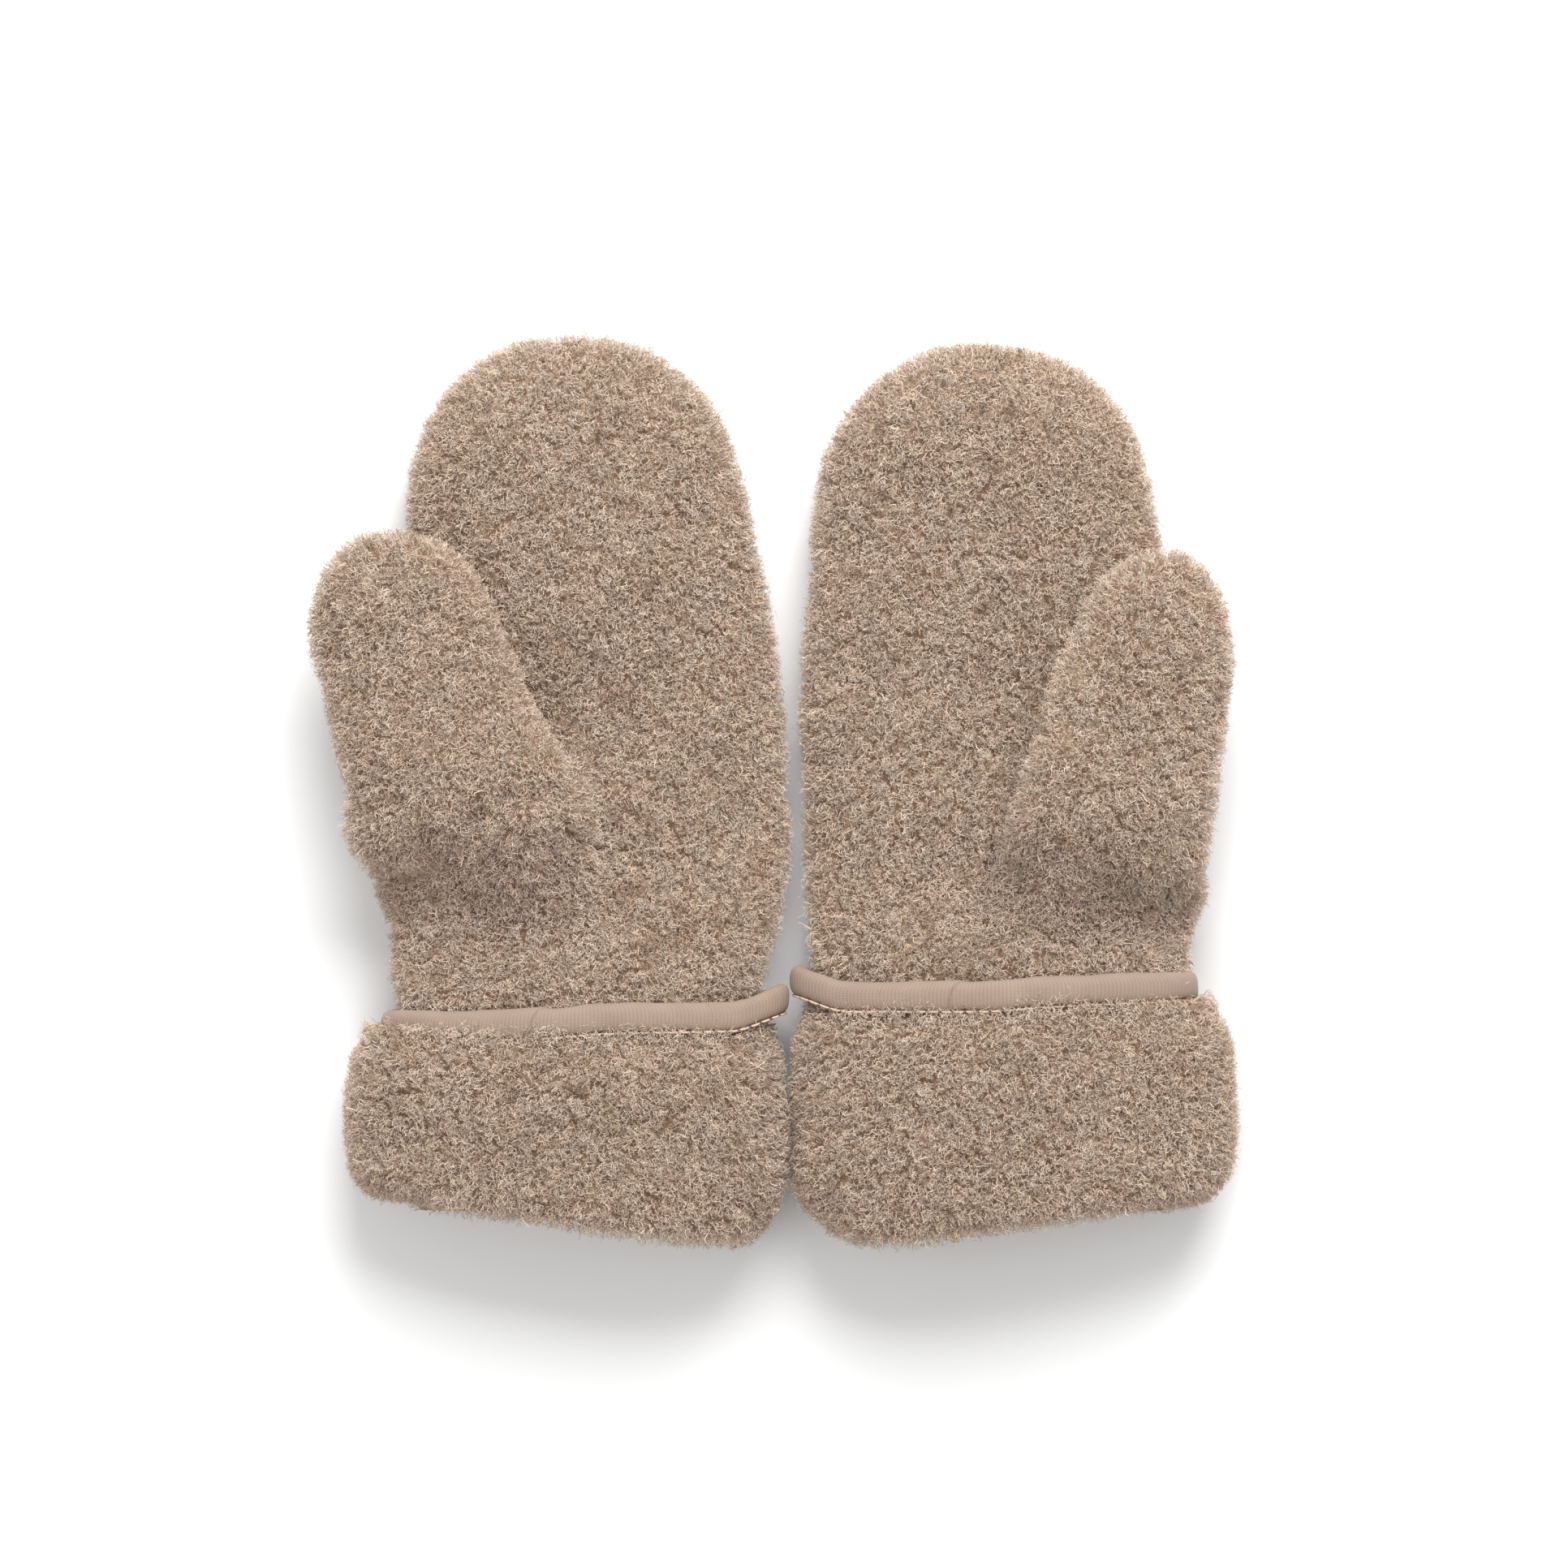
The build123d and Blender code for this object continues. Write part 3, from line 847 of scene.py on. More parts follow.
@dataclass
class MittenForm:
    """One mitten's outer form in millimetres, pile included, placed by the frame's nodes."""

    side: Side
    sway: tuple[tuple[float, float], ...]
    thumb_widths: tuple[tuple[float, float], ...]
    thumb_dome: float
    dent: tuple[float, float, float]
    crotch: float
    corner: float
    groove: float
    binding_line: tuple[float, float]
    widths: tuple[tuple[float, float], ...] = (
        (62.0, 52.0), (83.0, 55.0), (102.0, 56.6), (125.0, 57.6), (148.0, 58.0),
        (165.0, 57.4), (186.0, 55.6), (197.0, 53.0), (260.0, 52.5),
    )
    dome: float = 62.0
    dome_power: float = 2.15
    pile: float = 3.4
    mesh_step: float = 1.1
    fold_tilt: float = 8.7
    hand_half_height: float = 14.3
    hand_middle_z: float = 13.6
    thumb_half_height: float = 12.0
    mouth_half_width: float = 45.5
    mouth_half_height: float = 6.0
    ridge_height: float = 2.6
    hollow_depth: float = 4.2
    rise_to_thumb: tuple[tuple[float, float], ...] = (
        (-56.0, 12.0), (-28.0, 25.5), (0.0, 38.4), (24.0, 36.5), (84.0, 31.6),
    )

    def __post_init__(self) -> None:
        """Reads the mitten's place from the frame."""
        word = self.side.word
        self.out = float(self.side.value)
        low, high = (to_mm(c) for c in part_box(f"{word}_fingertip_back"))
        self.middle_x = (low[0] + high[0]) / 2
        self.tip_y = high[1] + 2.4
        joints = {joint["name"]: joint for joint in frame["joints"]}
        lift = joints[f"{word}_thumb_lift"]
        self.root = to_mm(lift["pos_m"])
        self.along = np.array([-lift["axis"][1], lift["axis"][0], 0.0])
        self.across = np.array([-self.out * self.along[1], self.out * self.along[0], 0.0])
        self.fold_y = to_mm(joints[f"{word}_fingertip_fold"]["pos_m"])[1]
        low, high = (to_mm(c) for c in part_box(f"{word}_binding"))
        self.wrist_x = (low[0] + high[0]) / 2
        self.wrist_z = (low[2] + high[2]) / 2
        self.binding_width = (high[0] - low[0]) / 2
        self.binding_height = (high[2] - low[2]) / 2
        self.binding_y = (low[1] + high[1]) / 2 + self.binding_line[0]
        self.binding_low = self.binding_y - 4.6
        low, high = (to_mm(c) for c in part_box(f"{word}_cuff_palm"))
        self.cuff_x = (low[0] + high[0]) / 2
        self.cuff_width = (high[0] - low[0]) / 2
        self.cuff_top = high[2]
        self.cuff_y = (low[1] + to_mm(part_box(f"{word}_back_panel")[0])[1]) / 2
        self.thumb_tip = self.thumb_dome_end()

    def thumb_dome_end(self) -> float:
        """How far the thumb reaches from its root."""
        low, high = (to_mm(c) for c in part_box(f"{self.side.word}_thumb_front"))
        return float((high[1] - self.root[1]) / self.along[1]) - 1.0

    # ---- hand
    def _hand_width(self, from_tip: Array) -> Array:
        """Half width of the hand's skin at distances from the skin's own tip."""
        dome = self.dome - self.pile
        near = 1.0 - np.clip(1.0 - from_tip / dome, 0.0, 1.0) ** self.dome_power
        round_end = (self.widths[0][1] - self.pile) * near ** (1.0 / self.dome_power)
        body = through(self.widths, from_tip + self.pile) - self.pile
        return np.where(from_tip < dome, round_end, body)

    def hand(self) -> Skin:
        """The hand's skin from the wrist, inside the cuff, to the fingertips."""
        tip = self.tip_y - self.pile
        low = self.cuff_y + 6.0
        dense = tip - (tip - low) * (1.0 - np.cos(np.linspace(0, math.pi / 2, 1500)))[::-1]
        rows = even_rows(dense, self._hand_width(tip - dense), self.mesh_step)
        rows[-1] = tip - 0.02
        from_tip = tip - rows
        half = self._hand_width(from_tip)
        end = np.clip(1.0 - from_tip / 34.0, 0.0, 1.0)
        high = (self.hand_half_height - self.pile) * np.sqrt(np.clip(1.0 - end**2.3, 0.0, 1.0)) + 0.05
        wrist = 1.0 - smooth_step((rows - self.cuff_y - 66.0) / 52.0)
        level = self.hand_middle_z
        middle_z = level - 3.0 * end**2 + (self.wrist_z - level) * wrist
        sway = through(self.sway, from_tip + self.pile)
        middle_x = self.middle_x - self.out * sway
        theta = -math.pi / 2 + np.linspace(0, 2 * math.pi, 720, endpoint=False)[None, :]
        cos, sin = np.cos(theta), np.sin(theta)
        a, h = half[:, None], high[:, None]
        power = 2.35
        reach = (np.abs(cos / a) ** power + np.abs(sin / h) ** power) ** (-1.0 / power)
        reach = self._with_thumb_base(reach, rows[:, None], middle_x[:, None], middle_z[:, None], cos, sin)
        x = middle_x[:, None] + reach * cos
        z = middle_z[:, None] + reach * sin
        y = np.broadcast_to(rows[:, None], x.shape)
        upper = smooth_step(sin / 0.35)
        aside = (x - self.middle_x) / 34.0
        hollow = np.exp(-((y - self.root[1] - 34.0) / 20.0) ** 2 - aside**2)
        ridge = np.exp(-((y - self.root[1] - 1.0) / 11.0) ** 2 - (aside - 0.25 * self.out) ** 2)
        run = (x - self.root[0]) * self.along[0] + (y - self.root[1]) * self.along[1]
        aside = (x - self.root[0]) * self.across[0] + (y - self.root[1]) * self.across[1]
        edge = through(self.thumb_widths, run) / 2 + 9.0
        seam = np.exp(-((aside - edge) / 6.0) ** 2) * smooth_step((run + 46.0) / 26.0)
        seam = seam * (1.0 - smooth_step((run - self.crotch - 6.0) / 20.0))
        dents = self.ridge_height * ridge - self.hollow_depth * hollow - self.groove * seam
        z = z + upper * dents
        return self._finish(np.stack([x, y, z], -1), columns=236).closed()

    def _with_thumb_base(
        self, reach: Array, y: Array, mid_x: Array, mid_z: Array, cos: Array, sin: Array
    ) -> Array:
        """Swells the hand's section round the base of the thumb.

        Args:
            reach: the section's radius in each direction.
            y: the rows' places.
            mid_x: the sections' middles across.
            mid_z: the sections' middles in height.
            cos: the directions' cosines.
            sin: the directions' sines.

        Returns:
            The swollen radius.
        """
        slope = self.along[0] / self.along[1]
        base_x = self.root[0] + slope * (y - self.root[1])
        run = (y - self.root[1]) / self.along[1]
        width = self._thumb_width(np.maximum(run, -60.0)) / self.along[1]
        tall = np.full_like(width, self.thumb_half_height - self.pile) - 1.0
        centre_z = through(self.rise_to_thumb, run)
        roll = -self.out * math.radians(9.0)
        dx, dz = mid_x - base_x, mid_z - centre_z
        px = (dx * math.cos(roll) + dz * math.sin(roll)) / width
        pz = (-dx * math.sin(roll) + dz * math.cos(roll)) / tall
        vx = (cos * math.cos(roll) + sin * math.sin(roll)) / width
        vz = (-cos * math.sin(roll) + sin * math.cos(roll)) / tall
        square, cross = vx**2 + vz**2, px * vx + pz * vz
        rest = px**2 + pz**2 - 1.0
        inside = cross**2 - square * rest
        out = np.where(inside > 0, (-cross + np.sqrt(np.maximum(inside, 0.0))) / square, 0.0)
        out = np.maximum(out, 0.0)
        ahead = (mid_x + out * cos - self.root[0]) * self.along[0] + (y - self.root[1]) * self.along[1]
        gain = np.maximum(out - reach, 0.0) * (1.0 - smooth_step((ahead - self.crotch + 8.0) / 13.0))
        gain = gain * smooth_step((run + 72.0) / 38.0)
        close, soft, wide = (blur(gain, width, 1, True) for width in (6.0, 26.0, 48.0))
        low = smooth_step((self.crotch - 2.0 - run) / 14.0)
        lower = smooth_step((self.crotch - 16.0 - run) / 24.0)
        gain = close + (soft - close) * low + (wide - soft) * lower
        return reach + blur(gain, 3.0, 0, False)

    # ---- thumb
    def _thumb_width(self, reach: Array) -> Array:
        """Half width of the thumb's skin at distances from its root."""
        body = through(self.thumb_widths, reach) - self.pile
        start = self.thumb_dome
        end = self.thumb_tip - self.pile
        share = np.clip((reach - start) / (end - start), 0.0, 1.0)
        return body * np.sqrt(np.clip(1.0 - share**2.1, 0.0, 1.0))

    def thumb_place(self, reach: Array, aside: Array, z: Array) -> Array:
        """Points beside the thumb's middle line, towards the palm where aside is positive."""
        root = np.array([self.root[0], self.root[1], 0.0])
        flat = root + reach[..., None] * self.along + aside[..., None] * self.across
        return np.concatenate([flat[..., :2], z[..., None]], -1)

    def thumb(self) -> Skin:
        """The thumb's skin, which starts inside its base."""
        low, end = self.crotch - 27.0, self.thumb_tip - self.pile
        dense = end - (end - low) * (1.0 - np.cos(np.linspace(0, math.pi / 2, 1200)))[::-1]
        rows = even_rows(dense, self._thumb_width(dense), self.mesh_step)
        rows[-1] = end - 0.02
        buried = 1.0 - smooth_step((rows - self.crotch + 24.0) / 22.0)
        inset = 1.8 * buried
        half = self._thumb_width(rows) - inset - 7.0 * buried
        near = np.clip(1.0 - (end - rows) / 26.0, 0.0, 1.0)
        high = (self.thumb_half_height - self.pile - inset) * np.sqrt(np.clip(1.0 - near**2.3, 0.0, 1.0)) + 0.05
        theta = -math.pi / 2 + np.linspace(0, 2 * math.pi, 480, endpoint=False)[None, :]
        cos, sin = np.cos(theta), np.sin(theta)
        power = 2.2
        reach = (np.abs(cos / half[:, None]) ** power + np.abs(sin / high[:, None]) ** power) ** (-1 / power)
        flat, up = reach * cos, reach * sin
        roll = math.radians(9.0)
        aside = flat * math.cos(roll) - up * math.sin(roll)
        middle_z = through(self.rise_to_thumb, rows) - 5.0 * buried
        z = middle_z[:, None] + flat * math.sin(roll) + up * math.cos(roll)
        where, sideways, depth = self.dent
        hollow = np.exp(-((rows[:, None] - where) / 4.5) ** 2 - ((aside - sideways) / 6.5) ** 2)
        z = z - depth * hollow * (sin > 0)
        points = self.thumb_place(np.broadcast_to(rows[:, None], z.shape), aside, z)
        return self._finish(points, columns=124).closed()

    # ---- cuff
    def _tilted(self, x: Array, share: Array) -> Array:
        """How far the cuff's rows are pushed along Y by the slant of its fold."""
        slant = math.tan(math.radians(self.fold_tilt))
        return self.out * slant * (x - self.cuff_x) * share

    def cuff(self) -> tuple[Skin, dict[str, int]]:
        """The cuff's skin, from inside the mouth round the fold and up to the binding.

        Returns:
            The skin, and the rows at which its parts begin.
        """
        inner_w = self.mouth_half_width + self.pile
        inner_h = self.mouth_half_height + self.pile
        outer_w, outer_h = self.cuff_width - self.pile, self.cuff_top - self.wrist_z - self.pile
        fold = self.cuff_y
        knots = [(fold + 46.0, 0.0), (fold + 30.0, 0.02), (fold + 14.0, 0.0)]
        for turn in np.radians(np.arange(-60, 61, 15)):
            swing = 0.46 * math.sin(turn) / math.sin(math.pi / 3)
            knots.append((fold + 12.5 - 9.0 * math.cos(turn), 0.5 + swing))
        top = self.binding_low
        knots += [(fold + 14.0, 1.0), (fold + 24.0, 1.035), (top - 13.0, 1.0), (top - 6.0, 0.9)]
        knots += [(top - 1.5, 0.74), (top + 3.0, 0.68)]
        line = np.array(knots)
        scaled = np.stack([line[:, 0], line[:, 1] * 14.0], -1)
        run = np.concatenate([[0.0], np.cumsum(np.linalg.norm(np.diff(scaled, axis=0), axis=1))])
        at = np.linspace(0.0, run[-1], int(run[-1] / self.mesh_step) + 1)
        y = through(list(zip(run, line[:, 0])), at)
        share = through(list(zip(run, line[:, 1])), at)
        lowest = int(y.argmin())
        mid = lowest + int(np.searchsorted(y[lowest:], fold + 25.0))
        half = inner_w + (outer_w - inner_w) * share
        high = inner_h + (outer_h - inner_h) * share
        lean = 1.0 - smooth_step((y - fold) / (top - fold))
        middle_x = self.wrist_x + (self.cuff_x - self.wrist_x) * np.clip(share, 0, 1)
        theta = -math.pi / 2 + np.linspace(0, 2 * math.pi, 720, endpoint=False)[None, :]
        cos, sin = np.cos(theta), np.sin(theta)
        power = 2.35
        reach = (np.abs(cos / half[:, None]) ** power + np.abs(sin / high[:, None]) ** power) ** (-1 / power)
        x = middle_x[:, None] + reach * cos
        z = self.wrist_z + reach * sin
        inner = np.clip(-self.out * (x - self.cuff_x) / self.cuff_width, 0.0, 1.0) ** 2
        low = smooth_step((fold + 24.0 - y[:, None]) / 30.0)
        x = x + self.out * self.corner * inner * low - 1.4 * np.clip((x - self.cuff_x) / 45.0, -1.0, 1.0)
        rise = 3.0 * inner * low
        points = np.stack([x, y[:, None] + self._tilted(x, lean[:, None]) + rise, z], -1)
        return self._finish(points, columns=262), {"fold": lowest + 3, "mid": mid, "end": len(y) - 1}

    def slant_point(self, y: float, share: float, step: float) -> tuple:
        """A point on the cuff's middle line, moved a step square to a slanted row."""
        turn = math.radians(self.fold_tilt * share)
        x = self.cuff_x - self.out * math.sin(turn) * step
        return (x * MM, (y + math.cos(turn) * step) * MM, self.wrist_z * MM)

    def _finish(self, dense: Array, columns: int) -> Skin:
        """Evens a skin out, gives it soft dents and swellings and lets it sag on the ground.

        Args:
            dense: rows of many points, in millimetres.
            columns: points to keep in each row.

        Returns:
            The skin in metres.
        """
        skin = Skin(even_columns(dense, columns))
        flat = skin.points.reshape(-1, 3)
        wide = soft_noise(flat, 27.0, 31 + self.side.value)
        small = soft_noise(flat, 11.0, 41 + self.side.value)
        swell = (1.1 * wide + 0.7 * small).reshape(skin.points.shape[:2])
        points = skin.points + skin.normals() * swell[:, :, None]
        floor = 2.4
        lift = points[..., 2] - floor
        points[..., 2] = floor + 0.5 * (lift + np.sqrt(lift**2 + 1.8**2))
        out = Skin(points * MM)
        out.outward = skin.outward
        return out

    # ---- binding
    def band_point(self, turn: Array, wind: Array, grow: float = 0.0) -> Array:
        """Points on the binding's padded roll, in metres.

        Args:
            turn: direction round the wrist.
            wind: direction round the roll; 0 faces outward, and -pi/2 is its lower edge.
            grow: how far outside the roll.

        Returns:
            The points.
        """
        power = 2.5
        round_y = np.sign(np.sin(wind)) * np.abs(np.sin(wind)) ** (2 / power)
        round_out = np.sign(np.cos(wind)) * np.abs(np.cos(wind)) ** (2 / power)
        tall = 4.7 + grow
        thick = 3.1 + 0.35 * np.sin(3 * turn + self.out) * 0.5 + grow
        half = self.binding_width - 2.9 + thick * round_out
        high = self.binding_height - 2.9 + thick * round_out
        cos, sin = np.cos(turn), np.sin(turn)
        section = 2.2
        reach = (np.abs(cos / half) ** section + np.abs(sin / high) ** section) ** (-1 / section)
        x = self.wrist_x + reach * cos
        z = self.wrist_z + reach * sin
        y = self.binding_y + self.binding_line[1] * (x - self.wrist_x) + tall * round_y
        inner = smooth_step((-self.out * (x - self.wrist_x) - 44.0) / 18.0)
        x = x - self.out * 2.4 * inner
        y = y + 5.5 * inner + 0.5 * np.sin(2.2 * turn + 0.7 * self.out)
        z = np.maximum(z, 0.7)
        return np.stack([x, y, z], -1) * MM


@dataclass
class Binding:
    """The jersey binding of one cuff, with its topstitching and thread ends."""

    form: MittenForm
    tape: bpy.types.Material
    thread: bpy.types.Material
    columns: int = 560
    rows: int = 74
    stitches: int = 72
    joint_turn: float = 2.2
    stitch_wind: float = -0.95
    stitch_pitch: float = 3.84

    def build(self) -> None:
        """Makes the roll, the stitches and, on the left, the loose thread ends."""
        word = self.form.side.word
        self._roll(word)
        self._stitching(word)
        if self.form.side is Side.LEFT:
            self._thread_ends(word)

    def _roll(self, word: str) -> None:
        """The padded roll of ribbed tape, with needle holes and the slanted overlap."""
        turn = -math.pi / 2 + np.linspace(0, 2 * math.pi, self.columns, endpoint=False)
        wind = np.linspace(-math.pi, math.pi, self.rows)
        grid_wind, grid_turn = np.meshgrid(wind, turn, indexing="ij")
        points = self.form.band_point(grid_turn, grid_wind)
        skin = Skin(points)
        along = np.cumsum(np.linalg.norm(np.diff(points, axis=1, append=points[:, :1]), axis=2), axis=1)
        along = np.broadcast_to(along[self.rows // 2], along.shape)
        across = np.cumsum(np.linalg.norm(np.diff(points, axis=0, append=points[-1:]), axis=2), axis=0)
        dent = 0.35 * soft_noise(points.reshape(-1, 3), 7 * MM, 5).reshape(along.shape) * MM
        slant = (grid_turn - self.joint_turn) * 40.0 + 2.2 * grid_wind
        dent = dent + 0.5 * MM * smooth_step(slant / 1.6) * (1 - smooth_step((slant - 3) / 16.0))
        hole, pull = self._holes(grid_turn, grid_wind)
        dent = dent - 0.55 * MM * pull - 0.5 * MM * hole
        raised = points + skin.normals() * dent[:, :, None]
        piece = new_mesh(f"{word}_binding_tape", raised.reshape(-1, 3), skin.faces())
        store(piece.data, "tape_along", along.ravel())
        store(piece.data, "tape_across", across.ravel())
        store(piece.data, "tape_hole", hole.ravel())
        low = smooth_step((-np.sin(grid_wind) - 0.1) / 0.6) * (np.cos(grid_wind) > -0.2)
        store(piece.data, "tape_low", low.ravel())
        edge = np.exp(-((slant - 0.6) / 0.5) ** 2)
        store(piece.data, "tape_joint", edge.ravel())
        i, j = np.meshgrid(np.linspace(0, 1, self.rows), np.linspace(0, 1, self.columns), indexing="ij")
        store_map(piece.data, np.stack([j.ravel(), i.ravel()], -1))
        piece.data.materials.append(self.tape)
        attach(piece, f"{word}_binding")
        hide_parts(f"{word}_binding")
        LOG.info("%s: %d faces", piece.name, len(piece.data.polygons))

    def _stitch_turns(self) -> Array:
        """Directions round the wrist at which stitches lie, evenly spaced along the tape."""
        turn = np.linspace(0, 2 * math.pi, 3001)
        line = self.form.band_point(turn, np.full_like(turn, self.stitch_wind))
        run = np.concatenate([[0], np.cumsum(np.linalg.norm(np.diff(line, axis=0), axis=1))])
        return np.interp(np.arange(self.stitches) / self.stitches * run[-1], run, turn)

    def _holes(self, turn: Array, wind: Array) -> tuple[Array, Array]:
        """Needle holes between the stitches, and the groove that the thread pulls."""
        turns = self._stitch_turns()
        spacing = np.diff(np.concatenate([turns, [turns[0] + 2 * math.pi]]))
        gaps = turns + spacing / 2
        away = np.abs((turn[..., None] - gaps + math.pi) % (2 * math.pi) - math.pi)
        at = away.argmin(axis=-1)
        gap = np.take_along_axis(away, at[..., None], -1)[..., 0] / spacing[at]
        gap = gap * self.stitch_pitch
        height = (wind - self.stitch_wind) * 4.4
        hole = np.exp(-(gap / 0.5) ** 2 - (height / 0.5) ** 2)
        pull = np.exp(-(height / 0.75) ** 2) * (0.5 + 0.5 * np.exp(-(gap / 1.1) ** 2))
        return hole, pull

    def _stitching(self, word: str) -> None:
        """One short arched thread for each stitch."""
        turns = self._stitch_turns()
        spacing = np.diff(np.concatenate([turns, [turns[0] + 2 * math.pi]]))
        tubes = []
        for middle, width in zip(turns, spacing):
            at = np.linspace(-0.44, 0.44, 9)
            wind = np.full(9, self.stitch_wind)
            line = self.form.band_point(middle + at * width, wind + at * 0.06)
            lift = self.form.band_point(middle + at * width, wind, grow=1.0) - line
            arch = 0.1 + 0.3 * (1.0 - (np.abs(at) / 0.44) ** 3)
            tubes.append(tube(line + unit(lift) * (arch * MM)[:, None], 0.36 * MM))
        piece = join_tubes(f"{word}_stitches", tubes)
        piece.data.materials.append(self.thread)
        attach(piece, f"{word}_binding")
        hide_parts(f"{word}_topstitch")
        LOG.info("%s: %d stitches", piece.name, len(tubes))

    def _thread_ends(self, word: str) -> None:
        """Two cut thread ends beside the tape's overlap."""
        tubes = []
        for lean, length in ((0.5, 4.2), (-0.7, 3.4)):
            step = np.linspace(0.0, 1.0, 12)
            wind = -0.9 - step * 0.25 * lean
            turn = self.joint_turn - 0.02 + step * length * 0.016 * lean
            base = self.form.band_point(turn, wind, grow=0.5)
            drop = np.stack([0 * step, -step * length * 0.7, 0.8 * np.sin(step * 3.0)], -1) * MM
            tubes.append(tube(base + drop, 0.2 * MM))
        piece = join_tubes(f"{word}_thread_ends", tubes)
        piece.data.materials.append(self.thread)
        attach(piece, f"{word}_binding")


def tube(line: Array, radius: float, sides: int = 8) -> Array:
    """Rings of points round a line, drawn in at both ends, (points, sides, 3)."""
    run = unit(np.gradient(line, axis=0))
    side = unit(np.cross(run, np.array([0.13, 0.31, 0.94])))
    up = np.cross(side, run)
    angle = np.linspace(0, 2 * math.pi, sides, endpoint=False)
    end = np.linspace(-1, 1, len(line))
    size = radius * np.sqrt(np.clip(1.02 - end**6, 0.02, 1.0))
    ring = side[:, None, :] * np.cos(angle)[None, :, None] + up[:, None, :] * np.sin(angle)[None, :, None]
    return line[:, None, :] + ring * size[:, None, None]


def join_tubes(name: str, tubes: Sequence[Array]) -> bpy.types.Object:
    """One mesh of several tubes."""
    points, quads, start = [], [], 0
    for rings in tubes:
        points.append(rings.reshape(-1, 3))
        quads.append(Skin(rings).faces() + start)
        start += rings.shape[0] * rings.shape[1]
    return new_mesh(name, np.concatenate(points), np.concatenate(quads))


# --------------------------------------------------------------------------- assembly
@dataclass
class Mitten:
    """One whole mitten over its five bodies."""

    form: MittenForm
    pile: Pile
    tape: bpy.types.Material
    thread: bpy.types.Material

    def build(self) -> None:
        """Makes every piece, from the hand to the binding."""
        self._hand()
        self._thumb()
        self._cuff()
        Binding(self.form, self.tape, self.thread).build()

    def _names(self, *nodes: str) -> tuple[str, ...]:
        """CAD node names of this mitten."""
        return tuple(f"{self.form.side.word}_{node}" for node in nodes)

    def _hand(self) -> None:
        """The hand and, past the fold, the fingertips."""
        form, word = self.form, self.form.side.word
        skin = form.hand()
        split = int(np.searchsorted(skin.points[:, 0, 1] / MM, form.fold_y - 14.0))
        hand = Band(
            f"{word}_hand_pile", 0, split, f"{word}_hand",
            stands_for=self._names("back_panel", "palm_panel", "finger_panel", "hand_seam"),
        )
        fingers = Band(
            f"{word}_fingers_pile", split, len(skin.points) - 1, f"{word}_hand", f"{word}_fingertip",
            (form.middle_x * MM, (form.fold_y - 12) * MM, 0.01),
            (form.middle_x * MM, (form.fold_y + 12) * MM, 0.01),
            self._names("fingertip_back", "fingertip_palm", "fingertip_seam"),
        )

        def share(places: Array) -> Array:
            """Fewer locks underneath and where the cuff covers the wrist."""
            under = np.where(places[:, 2] < 6 * MM, 0.45, 1.0)
            covered = np.where(places[:, 1] / MM < form.binding_low, 0.3, 1.0)
            return under * covered

        self.pile.cover(skin, [hand, fingers], share)

    def _thumb(self) -> None:
        """The thumb, baked in place from inside its base to its tip."""
        form, word = self.form, self.form.side.word
        skin = form.thumb()
        root = np.array([form.root[0], form.root[1], 40.0])
        band = Band(
            f"{word}_thumb_pile", 0, len(skin.points) - 1, f"{word}_hand", f"{word}_thumb",
            tuple((root - 12 * form.along) * MM), tuple((root + 14 * form.along) * MM),
            self._names("thumb_front", "thumb_back", "thumb_seam"),
        )

        def share(places: Array) -> Array:
            """No locks inside the base, and fewer on the side that lies on the palm."""
            reach = (places / MM - root) @ form.along
            middle = through(form.rise_to_thumb, reach)
            under = np.where(places[:, 2] / MM < middle - 5.0, 0.6, 1.0)
            return under * (reach > form.crotch - 15.0)

        self.pile.cover(skin, [band], share)

    def _cuff(self) -> None:
        """The cuff: its fold stays on the hand, and its flap is baked in place in two bands."""
        form, word = self.form, self.form.side.word
        skin, rows = form.cuff()
        fold, mid = form.cuff_y + 3.0, form.cuff_y + 25.0
        bands = [
            Band(f"{word}_cuff_fold_pile", 0, rows["fold"], f"{word}_hand"),
            Band(
                f"{word}_cuff_lower_pile", rows["fold"], rows["mid"], f"{word}_hand", f"{word}_cuff",
                form.slant_point(fold, 0.8, 0.0), form.slant_point(fold, 0.8, mid - fold),
                self._names("cuff_back", "cuff_palm", "cuff_seam"),
            ),
            Band(
                f"{word}_cuff_upper_pile", rows["mid"], rows["end"], f"{word}_cuff", f"{word}_binding",
                form.slant_point(mid, 0.3, 0.0), form.slant_point(mid, 0.3, 37.0),
            ),
        ]

        def share(places: Array) -> Array:
            """Fewer locks underneath and inside the mouth."""
            reach = np.hypot((places[:, 0] / MM - form.wrist_x) / 60, (places[:, 2] / MM - form.wrist_z) / 19)
            return np.where(places[:, 2] < 5 * MM, 0.45, 1.0) * np.where(reach < 0.86, 0.5, 1.0)

        self.pile.cover(skin, bands, share)


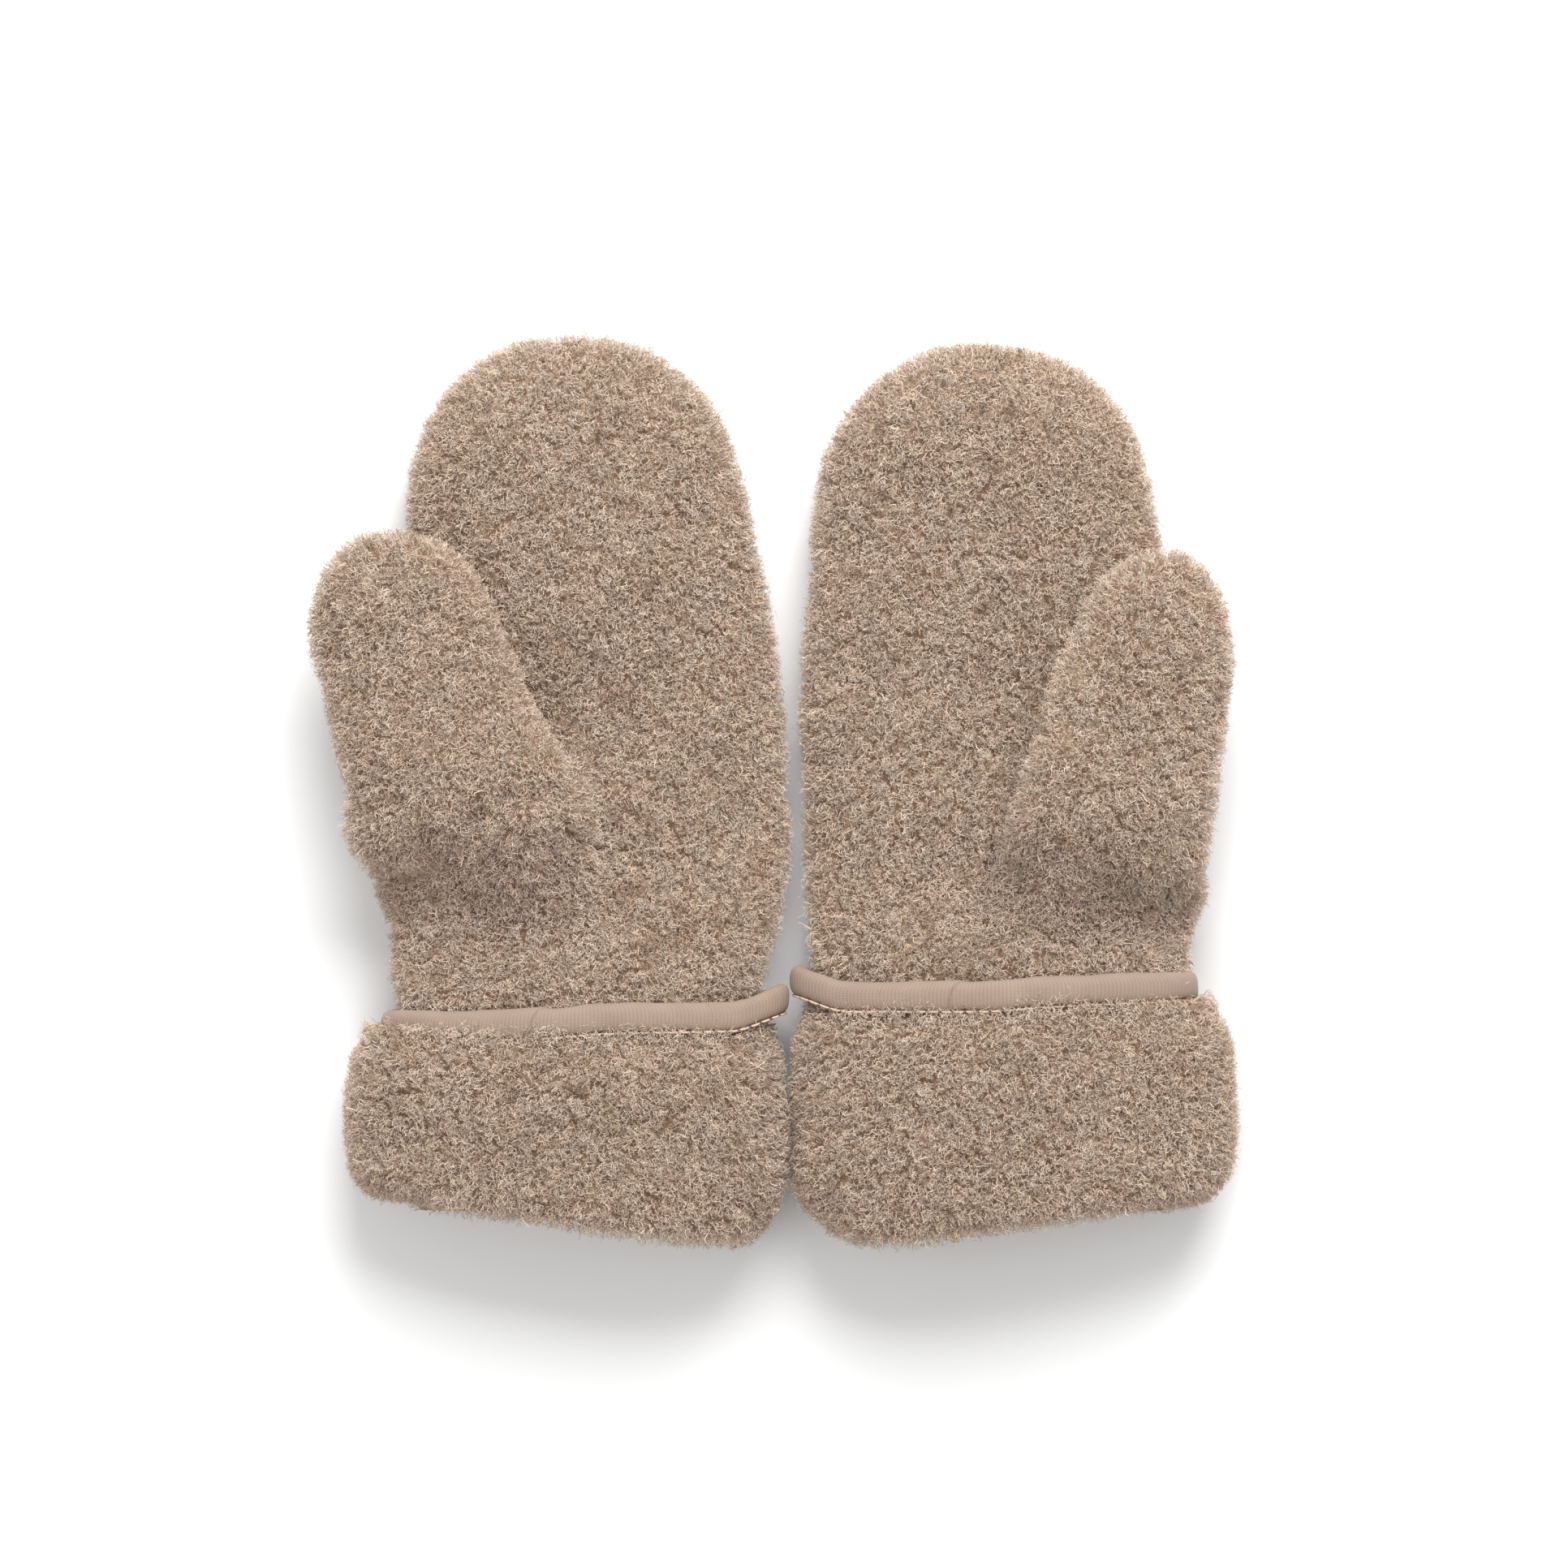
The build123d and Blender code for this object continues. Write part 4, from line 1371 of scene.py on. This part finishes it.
# --------------------------------------------------------------------------- studio
@dataclass
class Studio:
    """White paper, two soft boxes, a pale sky and a camera straight above."""

    span: float = 463.7 * MM
    height: float = 2.2
    middle: tuple[float, float] = (2.1 * MM, 2.4 * MM)

    def floor(self) -> None:
        """A sheet of white paper under the pair."""
        bpy.ops.mesh.primitive_plane_add(size=6.0, location=(0, 0, 0))
        sheet = bpy.context.object
        sheet.name = "floor"
        sheet.data.materials.append(FloorFinish().material())

    def _lamp(self, name: str, place: Sequence[float], size: float, power: float) -> None:
        """A square soft box that faces the middle of the pair."""
        light = bpy.data.lights.new(name, "AREA")
        light.shape, light.size, light.energy = "SQUARE", size, power
        lamp = bpy.data.objects.new(name, light)
        lamp.location = place
        aim = -lamp.location
        lamp.rotation_euler = aim.to_track_quat("-Z", "Y").to_euler()
        bpy.context.scene.collection.objects.link(lamp)

    def lights(self) -> None:
        """A key beyond the fingertips, a weaker fill from the cuffs' left and a pale sky."""
        self._lamp("key", (0.3, 1.5, 1.35), 1.3, 62.0)
        self._lamp("fill", (-0.9, -0.5, 1.8), 1.8, 12.0)
        world = bpy.data.worlds.new("sky")
        bpy.context.scene.world = world
        world.use_nodes = True
        back = world.node_tree.nodes["Background"]
        back.inputs["Color"].default_value = (1.0, 1.0, 1.0, 1.0)
        back.inputs["Strength"].default_value = 0.58

    def camera(self) -> None:
        """The camera, straight above."""
        data = bpy.data.cameras.new("camera")
        data.sensor_width = 36.0
        data.lens = 36.0 * (self.height - 0.02) / self.span
        data.clip_end = 20.0
        eye = bpy.data.objects.new("camera", data)
        eye.location = (*self.middle, self.height)
        bpy.context.scene.collection.objects.link(eye)
        bpy.context.scene.camera = eye

    def build(self) -> None:
        """Sets up the whole studio."""
        self.floor()
        self.lights()
        self.camera()
        bpy.context.scene.view_settings.view_transform = "Standard"


def main() -> None:
    """Builds both mittens and the studio."""
    logging.basicConfig(level=logging.INFO, format="%(name)s: %(message)s")
    wool = WoolFinish()
    pile = Pile(wool.ground(), wool.locks())
    tape, thread = JerseyFinish().material(), ThreadFinish().material()
    left = MittenForm(
        Side.LEFT,
        sway=((0.0, -2.5), (45.0, -2.5), (80.0, 1.0), (150.0, 2.5), (190.0, 0.0), (260.0, -0.5)),
        thumb_widths=(
            (-60.0, 29.0), (-30.0, 32.4), (0.0, 35.5), (15.0, 31.8), (35.0, 29.4),
            (52.0, 28.2), (90.0, 28.0),
        ),
        thumb_dome=50.0,
        dent=(51.0, -4.0, 2.6),
        crotch=3.0,
        corner=9.0,
        groove=2.5,
        binding_line=(-0.9, 0.03),
    )
    right = MittenForm(
        Side.RIGHT,
        sway=(
            (0.0, -0.3), (50.0, 0.0), (80.0, -2.0), (105.0, -1.5), (140.0, -4.5),
            (190.0, -4.0), (260.0, -4.0),
        ),
        thumb_widths=(
            (-60.0, 31.0), (-30.0, 31.2), (0.0, 30.2), (15.0, 28.9), (35.0, 27.1),
            (50.0, 25.2), (90.0, 24.5),
        ),
        thumb_dome=44.0,
        dent=(40.0, 4.0, 0.0),
        crotch=-9.0,
        corner=18.0,
        groove=7.0,
        binding_line=(7.0, 0.028),
    )
    for form in (left, right):
        Mitten(form, pile, tape, thread).build()
    Studio().build()


if __name__ == "__main__":
    main()
